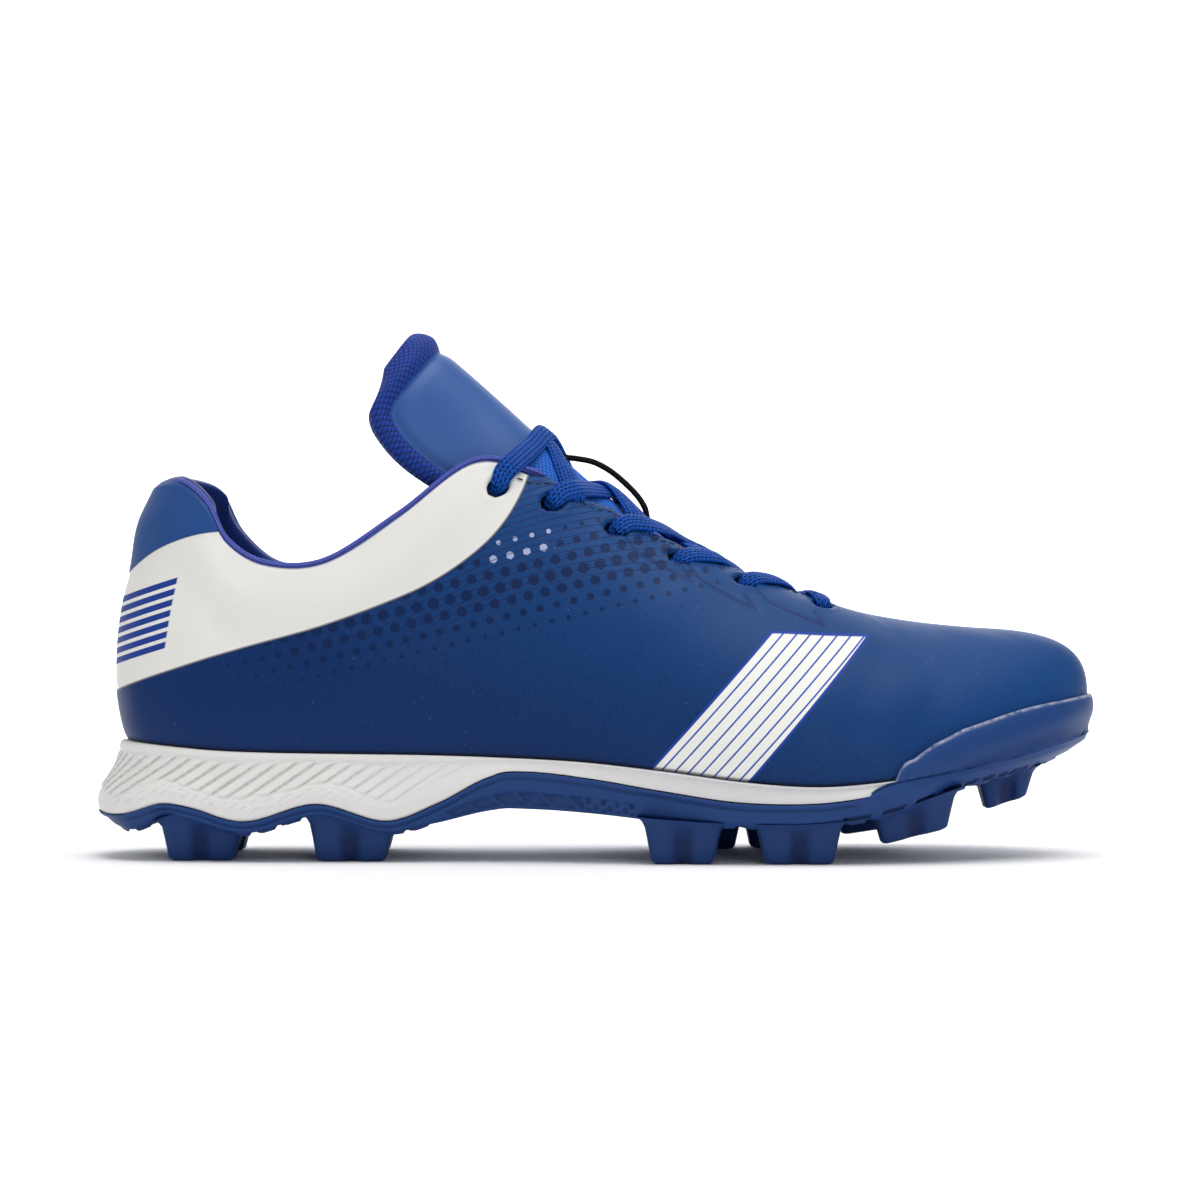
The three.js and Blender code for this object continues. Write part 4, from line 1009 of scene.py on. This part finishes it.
class Paint:
    """A material's tree with shorthand for sums of numbers."""

    def __init__(self, name, colour, roughness, **surface):
        self.material = bpy.data.materials.new(name)
        self.material.use_nodes = True
        self.tree = self.material.node_tree
        self.tree.nodes.clear()
        self.out = add(self.tree, "ShaderNodeOutputMaterial")
        self.shader = add(self.tree, "ShaderNodeBsdfPrincipled", {"Base Color": ink(colour), "Roughness": roughness})
        for key, value in surface.items():
            self.shader.inputs[key.replace("_", " ")].default_value = value
        self.link((self.shader, 0), self.out, 0)

    def link(self, source, node, key):
        self.tree.links.new(source[0].outputs[source[1]], node.inputs[key])

    def math(self, kind, a, b=0.0, clamp=False):
        return (add(self.tree, "ShaderNodeMath", {0: a, 1: b}, operation=kind, use_clamp=clamp), 0)

    def value(self, name):
        return (add(self.tree, "ShaderNodeAttribute", attribute_name=name), "Fac")

    def step(self, x, low, high):
        """0 below low and 1 above high, with a soft edge between."""
        node = add(self.tree, "ShaderNodeMapRange", {"Value": x, "From Min": low, "From Max": high}, interpolation_type="SMOOTHSTEP")
        return (node, 0)

    def blend(self, share, a, b):
        node = add(self.tree, "ShaderNodeMix", {0: share, 6: ink(a) if isinstance(a, str) else a,
                                                 7: ink(b) if isinstance(b, str) else b}, data_type="RGBA")
        return (node, 2)

    def place(self, name="Object"):
        """Coordinates in mm."""
        where = add(self.tree, "ShaderNodeTexCoord")
        return (add(self.tree, "ShaderNodeVectorMath", {0: (where, name), "Scale": 1000.0 if name == "Object" else 1.0}, operation="SCALE"), 0)

    def axes(self, vector):
        node = add(self.tree, "ShaderNodeSeparateXYZ", {0: vector})
        return (node, 0), (node, 1), (node, 2)

    def noise(self, vector, size, detail=2.0):
        return (add(self.tree, "ShaderNodeTexNoise", {"Vector": vector, "Scale": 1 / size, "Detail": detail}), 0)

    def bump(self, height, depth, strength=1.0, after=None):
        node = add(self.tree, "ShaderNodeBump", {"Height": height, "Distance": depth * MM, "Strength": strength})
        if after:
            self.link(after, node, "Normal")
        self.link((node, 0), self.shader, "Normal")
        return (node, 0)

    def colour(self, source):
        self.link(source, self.shader, "Base Color")

    def rough(self, source):
        self.link(source, self.shader, "Roughness")


BLUE, WHITE = "#072b5f", "#e4e3df"


def upper_material():
    # microfibre with a thin polyurethane film: faint grain, a soft broad sheen, crisp film edges
    p = Paint("microfibre_film_moulded", BLUE, 0.42, Specular_IOR_Level=0.13)
    where = p.place()
    x, y, z = p.axes(where)
    names = ("quarter", "tab", "band", "hole", "up", "inside", "emboss", "ring")
    quarter, tab, band, hole, up, inside, emboss, ring = map(p.value, names)
    pale = p.math("MULTIPLY", p.step(quarter, -0.25, 0.25), p.step(tab, 0.25, -0.25))
    # hexagon dots on a 5 mm lattice turned 13 degrees, largest below the pale quarter
    angle = math.radians(13.2)
    dx, dz = p.math("ADD", x, 48.0), p.math("ADD", z, -76.0)
    du = p.math("ADD", p.math("MULTIPLY", dx, math.cos(angle)), p.math("MULTIPLY", dz, math.sin(angle)))
    dv = p.math("SUBTRACT", p.math("MULTIPLY", dz, math.cos(angle)), p.math("MULTIPLY", dx, math.sin(angle)))
    pitch, row = 5.03, 5.03 * 0.866

    def cell(shift_u, shift_v):
        a = p.math("SUBTRACT", p.math("FLOORED_MODULO", p.math("ADD", du, shift_u), pitch), pitch / 2)
        b = p.math("SUBTRACT", p.math("FLOORED_MODULO", p.math("ADD", dv, shift_v), 2 * row), row)
        a, b = p.math("ABSOLUTE", a), p.math("ABSOLUTE", b)
        slant = p.math("ADD", p.math("MULTIPLY", a, 0.5), p.math("MULTIPLY", b, 0.866))
        return p.math("MAXIMUM", slant, a)

    hexes = p.math("MINIMUM", cell(0.0, 0.0), cell(pitch / 2, row))
    below = p.math("DIVIDE", p.math("MAXIMUM", p.math("MULTIPLY", dv, -1.0), dv), 20.5, clamp=True)
    size = p.math("MULTIPLY", p.math("SUBTRACT", 1.0, p.math("POWER", below, 1.3)), 1.7)
    size = p.math("MULTIPLY", size, p.step(x, -132.0, -78.0))
    dots = p.step(p.math("SUBTRACT", size, hexes), 0.0, 0.18)
    dots = p.math("MULTIPLY", dots, p.math("SUBTRACT", 1.0, p.step(x, 20.0, 65.0)))
    silver = p.math("MULTIPLY", p.step(dv, 6.2, 6.6), p.math("MULTIPLY", p.step(x, -32.5, -31.5), p.step(x, -12.0, -13.0)))
    silver = p.math("MULTIPLY", silver, p.step(dv, 15.4, 15.0))
    # fine fan lines between the quarter and the lacing, 2 mm apart
    fan = p.math("ADD", z, p.math("MULTIPLY", x, -0.36))
    fan = p.math("ADD", fan, p.math("MULTIPLY", p.math("POWER", p.math("ADD", x, 25.0), 2.0), 0.0042))
    wave = p.math("ABSOLUTE", p.math("SUBTRACT", p.math("FRACT", p.math("DIVIDE", fan, 2.1)), 0.5))
    lines = p.math("MULTIPLY", p.step(wave, 0.09, 0.03), p.math("MULTIPLY", p.step(fan, 84.0, 88.0), p.math("MULTIPLY", p.step(x, 40.0, 8.0), p.step(x, -70, -50))))
    # painted light: the film is painted lighter (#14437c) towards the toe and the top, with a random mottle added
    painted_light_and_mottle = p.math("ADD", p.math("MULTIPLY", p.math("ADD", x, 48.0), 0.0046), p.math("MULTIPLY", p.math("ADD", z, -45.0), 0.013))
    painted_light_and_mottle = p.math("ADD", painted_light_and_mottle, p.math("MULTIPLY", p.math("SUBTRACT", p.noise(where, 30.0), 0.5), 0.25), clamp=True)
    painted_light_and_mottle = p.math("ADD", painted_light_and_mottle, p.math("MULTIPLY", p.math("SUBTRACT", p.noise(where, 0.7, 3.0), 0.5), 0.8), clamp=True)
    film = p.blend(painted_light_and_mottle, BLUE, "#14437c")
    film = p.blend(p.math("MULTIPLY", dots, 0.88), film, "#03204c")
    film = p.blend(p.math("MULTIPLY", p.math("MULTIPLY", dots, silver), 0.8), film, "#b4bde0")
    film = p.blend(p.math("MULTIPLY", lines, 0.85), film, "#171b52")
    film = p.blend(p.math("MULTIPLY", p.step(emboss, 0.75, 0.3), 0.6), film, "#0a2458")
    # plain slanted band in the pale colour with thin blue pinstripes along it
    slope = p.math("SUBTRACT", p.math("MULTIPLY", dx, 0.742), p.math("MULTIPLY", dz, 0.67))
    stripe = p.math("ABSOLUTE", p.math("SUBTRACT", p.math("FRACT", p.math("DIVIDE", slope, 3.1)), 0.5))
    pin = p.blend(p.step(stripe, 0.1, 0.06), "#ecebe6", "#2a4fb0")
    film = p.blend(p.step(band, -0.9, -0.6), film, "#1d3f9c")
    film = p.blend(p.step(band, -0.1, 0.15), film, pin)
    quarter_white = p.blend(p.math("MULTIPLY", p.noise(where, 18.0), 0.25), WHITE, "#d9d8d2")
    # plain pinstripe bars across the back of the heel
    level = p.math("SUBTRACT", z, p.math("MULTIPLY", p.math("ADD", x, 140.0), 0.3))
    bars = p.math("ABSOLUTE", p.math("SUBTRACT", p.math("FRACT", p.math("DIVIDE", level, 3.0)), 0.5))
    bars = p.math("MULTIPLY", p.step(bars, 0.17, 0.21), p.math("MULTIPLY", p.step(level, 58.4, 58.6), p.step(level, 79.6, 79.4)))
    round_heel = p.math("MINIMUM", ring, p.math("SUBTRACT", float(RING), ring))
    bars = p.math("MULTIPLY", bars, p.step(round_heel, 1.62, 1.58))
    quarter_white = p.blend(bars, quarter_white, "#1c3a8e")
    skin = p.blend(pale, film, quarter_white)
    skin = p.blend(p.step(tab, -0.2, 0.2), skin, "#234985")
    glue = p.math("MULTIPLY", p.step(p.math("ABSOLUTE", quarter), 0.55, 0.25), p.step(tab, 0.0, -0.5))
    skin = p.blend(p.math("MULTIPLY", glue, 0.7), skin, "#1f2a48")
    skin = p.blend(p.math("MULTIPLY", p.step(up, 1.6, 0.5), 0.75), skin, "#1a2238")
    # painted shade: inside the punched holes the colour is near black
    skin = p.blend(p.step(hole, 3.0, 2.7), skin, "#03050b")
    scuff = p.step(p.noise(where, 1.1, 4.0), 0.73, 0.76)
    skin = p.blend(p.math("MULTIPLY", scuff, 0.35), skin, "#8d9cc4")
    skin = p.blend(p.step(inside, 0.2, 0.6), skin, "#0e2a68")
    p.colour(skin)
    rough = p.math("ADD", p.math("MULTIPLY", p.noise(where, 9.0), 0.12), 0.38)
    p.rough(p.math("ADD", rough, p.math("MULTIPLY", pale, 0.06)))
    first = p.bump(p.noise(where, 0.7, 3.0), 0.09, 0.6)
    relief = p.math("MULTIPLY", p.math("ADD", dots, lines), p.math("SUBTRACT", pale, 1.0))
    p.bump(relief, 0.12, 0.6, first)
    return p.material


def plain(name, colour, roughness, grain=0.6, depth=0.04, dirt=None, **surface):
    p = Paint(name, colour, roughness, **surface)
    where = p.place()
    cloud = p.noise(where, 14.0, 3.0)
    p.colour(p.blend(p.math("MULTIPLY", cloud, 0.5), colour, dirt or colour))
    p.bump(p.noise(where, grain, 3.0), depth, 0.6)
    return p


def foam_material():
    # moulded EVA foam: matte, off-white, with painted shadow on the steep faces of its ribs and in its fine dashes
    p = plain("eva_foam_moulded", "#e4e3e1", 0.62, 0.4, 0.04, "#d2d0ce")
    source = (p.shader.inputs["Base Color"].links[0].from_node, 2)
    x, _, _ = p.axes(p.place())
    source = p.blend(p.math("MULTIPLY", p.step(x, -40.0, 50.0), 0.7), source, "#cbcbce")
    # painted shadow on the ribs' steep faces and in the fine dashes
    p.colour(p.blend(p.math("MULTIPLY", p.step(p.value("groove"), 0.2, 0.9), 0.55), source, "#a9a7a5"))
    return p.material


def rubber_material(name, colour, dirt):
    # moulded rubber: satin, with painted shade in its recesses and over the studs, and a patchy pale line along the
    # bumper's top edge
    p = plain(name, colour, 0.45, 0.7, 0.05, dirt, Specular_IOR_Level=0.2)
    base = (p.shader.inputs["Base Color"].links[0].from_node, 2)
    # painted shade: darker in the slots, cells, cut lines, the bumper's line and over the studs
    skin = p.blend(p.math("MULTIPLY", p.value("hollow"), 0.75), base, "#071842")
    patchy = p.math("MULTIPLY", p.step(p.noise(p.place(), 2.2, 4.0), 0.3, 0.6), p.step(p.value("dust"), 0.3, 0.8))
    p.colour(p.blend(p.math("MULTIPLY", patchy, 0.7), skin, "#a3a5ba"))
    return p.material


def woven(name, colour, dark, rib, pick, gloss=0.55, spread=3.3):
    """A woven band read from its own UV map: x along it and y across it, in mm."""
    p = Paint(name, colour, gloss, Specular_IOR_Level=0.1)
    along, across, _ = p.axes(p.place("UV"))
    ribs = p.math("ABSOLUTE", p.math("SINE", p.math("MULTIPLY", across, math.pi / rib)))
    lean = p.math("ADD", along, p.math("MULTIPLY", p.math("ABSOLUTE", p.math("SUBTRACT", p.math("FLOORED_MODULO", across, 2 * rib), rib)), 0.8))
    picks = p.math("ABSOLUTE", p.math("SINE", p.math("MULTIPLY", lean, math.pi / pick)))
    height = p.math("ADD", p.math("MULTIPLY", ribs, 0.55), p.math("MULTIPLY", picks, 0.5))
    # painted shade: the weave's low parts between ribs and picks take the dark colour; the same height drives the bump
    p.colour(p.blend(p.step(height, 0.25, 0.95), dark, colour))
    p.bump(height, 0.35, 0.9)
    return p.material


def tongue_material():
    # smooth coated face inside a knitted rim, and open knit lower down under the laces
    p = Paint("coated_face_and_knit", "#2a5099", 0.45, Specular_IOR_Level=0.3)
    where = p.place()
    rim, along, across, back = map(p.value, ("rim", "along", "across", "back"))
    knit_a = p.math("ABSOLUTE", p.math("SINE", p.math("MULTIPLY", p.math("ADD", along, across), math.pi / 1.5)))
    knit_b = p.math("ABSOLUTE", p.math("SINE", p.math("MULTIPLY", p.math("SUBTRACT", across, p.math("MULTIPLY", along, 0.4)), math.pi / 1.0)))
    knit = p.math("MULTIPLY", knit_a, knit_b)
    on_knit = p.math("MAXIMUM", p.step(rim, -0.2, 0.3), p.step(along, 52.0, 54.0))
    face = p.blend(p.math("MULTIPLY", p.noise(where, 25.0), 0.5), "#2c5698", "#254c8a")
    # painted shade: the knit's low parts between loops take the darker colour; the same knit height drives the bump
    cloth = p.blend(p.step(knit, 0.05, 0.6), "#061d5e", "#0f3c9c")
    under_laces = p.blend(p.step(knit, 0.05, 0.6), "#0e42a2", "#1f6dd0")
    cloth = p.blend(p.step(along, 52.0, 54.0), cloth, under_laces)
    p.colour(p.blend(on_knit, face, cloth))
    p.rough(p.math("ADD", p.math("MULTIPLY", on_knit, 0.3), 0.42))
    grain = p.noise(where, 0.5, 2.0)
    height = p.math("ADD", p.math("MULTIPLY", p.math("MULTIPLY", knit, on_knit), 1.0), p.math("MULTIPLY", grain, 0.2))
    p.bump(height, 0.25, 0.8)
    return p.material


def cloth_material(name, colour, dark, cell=1.0):
    # knitted lining: matte, small loops, soft light at grazing angles
    p = Paint(name, colour, 0.85, Specular_IOR_Level=0.2)
    where = p.place()
    x, y, z = p.axes(where)
    a = p.math("ABSOLUTE", p.math("SINE", p.math("MULTIPLY", p.math("ADD", x, y), math.pi / cell)))
    b = p.math("ABSOLUTE", p.math("SINE", p.math("MULTIPLY", p.math("ADD", z, p.math("MULTIPLY", x, 0.5)), math.pi / cell)))
    knit = p.math("MULTIPLY", a, b)
    # painted shade: the low parts between loops take the dark colour; the same knit drives the bump
    p.colour(p.blend(p.step(knit, 0.05, 0.6), dark, colour))
    p.bump(knit, 0.2, 0.7)
    return p.material


# ---------------------------------------------------------------- the shoe
upper_skin = upper_material()
rubber = rubber_material("rubber_compression_moulded", "#1a3c74", "#234782")
foam = foam_material()
lining = cloth_material("polyester_knit_lining", "#12307a", "#0a1f56")
sock = cloth_material("polyester_sock_liner", "#1a3a86", "#10296a", 1.4)
lace = woven("polyester_flat_braid", "#0c50ae", "#041647", LACE_RIB, 1.5)
edge_tape = woven("nylon_binding_tape", "#5b66bd", "#3a4699", 0.9, 1.0)
elastic = woven("black_elastic_braid", "#141414", "#050505", 0.8, 1.0)
thread = Paint("bonded_nylon_thread", "#151c33", 0.6).material

finish_piece(upper_piece(), ["upper"], upper_skin)
finish_piece(piping_piece(), (), edge_tape)
collar = finish_piece(collar_pad_piece(), (), lining)
finish_piece(stitches_piece(thread))
finish_piece(midsole_piece(), ["midsole"], foam)
finish_piece(outsole_piece(), ["outsole"], rubber)
finish_piece(studs_piece(), (), rubber)
finish_piece(insole_piece(), ["insole"], sock)
tongue = finish_piece(tongue_piece(), ["tongue"], tongue_material())
for obj, node in lace_pieces():
    finish_piece(obj, [node], lace)

# the elastic loop lies along the tongue under the crossings and stands up over the second one
KEEPER = [(0.04, 0), (0.1, 0), (0.2, 0), (0.3, 0), (0.368, 0), (0.386, 0.4), (0.4, 3.4), (0.42, 5.2),
          (0.454, 5.9), (0.482, 4.7), (0.503, 2), (0.515, 0.2), (0.527, 0)]
loop = [tongue_point(t, 0.12, -(KEEPER_RADIUS + GAP + rise)) for t, rise in KEEPER]
finish_piece(round_cord("keeper_loop", loop, KEEPER_RADIUS + 0.12, 200), ["keeper_cord"], elastic)


# ---------------------------------------------------------------- studio
def studio():
    # white sweep: flat floor, a quarter circle and a wall far behind
    turn = np.linspace(0, math.pi / 2, 25)
    line = [(-4.0, 0.0)] + [(1.6 + 1.2 * math.sin(a), 1.2 - 1.2 * math.cos(a)) for a in turn] + [(2.8, 4.0)]
    verts = [(x, y, z) for y, z in line for x in (-5.0, 5.0)]
    faces = [(2 * i, 2 * i + 1, 2 * i + 3, 2 * i + 2) for i in range(len(line) - 1)]
    mesh = bpy.data.meshes.new("white_sweep")
    mesh.from_pydata(verts, [], faces)
    mesh.polygons.foreach_set("use_smooth", [True] * len(mesh.polygons))
    sweep = bpy.data.objects.new("white_sweep", mesh)
    bpy.context.scene.collection.objects.link(sweep)
    mesh.materials.append(Paint("matte_white_paper", "#fafafa", 0.9).material)
    for name, place, size, power, aim in (
        ("softbox_top", (0.15, -0.15, 1.3), 1.1, 14.0, (0, 0, 0.05)),
        ("softbox_front", (0.5, -1.9, 0.8), 1.0, 6.2, (0, 0, 0.06)),
        ("softbox_left", (-1.4, -0.7, 0.8), 0.9, 2.8, (0, 0, 0.06)),
        ("sweep_light", (0.0, 1.3, 1.9), 2.6, 75.0, (0, 2.75, 0.8)),
    ):
        data = bpy.data.lights.new(name, "AREA")
        data.size, data.energy = size, power
        lamp = bpy.data.objects.new(name, data)
        lamp.location = place
        lamp.rotation_euler = (Vector(aim) - Vector(place)).to_track_quat("-Z", "Y").to_euler()
        bpy.context.scene.collection.objects.link(lamp)
    world = bpy.data.worlds.new("white_room")
    world.use_nodes = True
    world.node_tree.nodes["Background"].inputs[0].default_value = (1, 1, 1, 1)
    world.node_tree.nodes["Background"].inputs[1].default_value = 0.34
    bpy.context.scene.world = world


studio()
camera_data = bpy.data.cameras.new("camera")
camera_data.sensor_width, camera_data.lens = 36.0, 36.0 * 1200 / 362.5
camera_data.clip_start, camera_data.clip_end = 0.05, 20.0
camera = bpy.data.objects.new("camera", camera_data)
camera.location = (0.0009, -1.2, 0.077)
camera.rotation_euler = (math.pi / 2, 0, 0)
bpy.context.scene.collection.objects.link(camera)
bpy.context.scene.camera = camera
bpy.context.scene.view_settings.view_transform = "Standard"
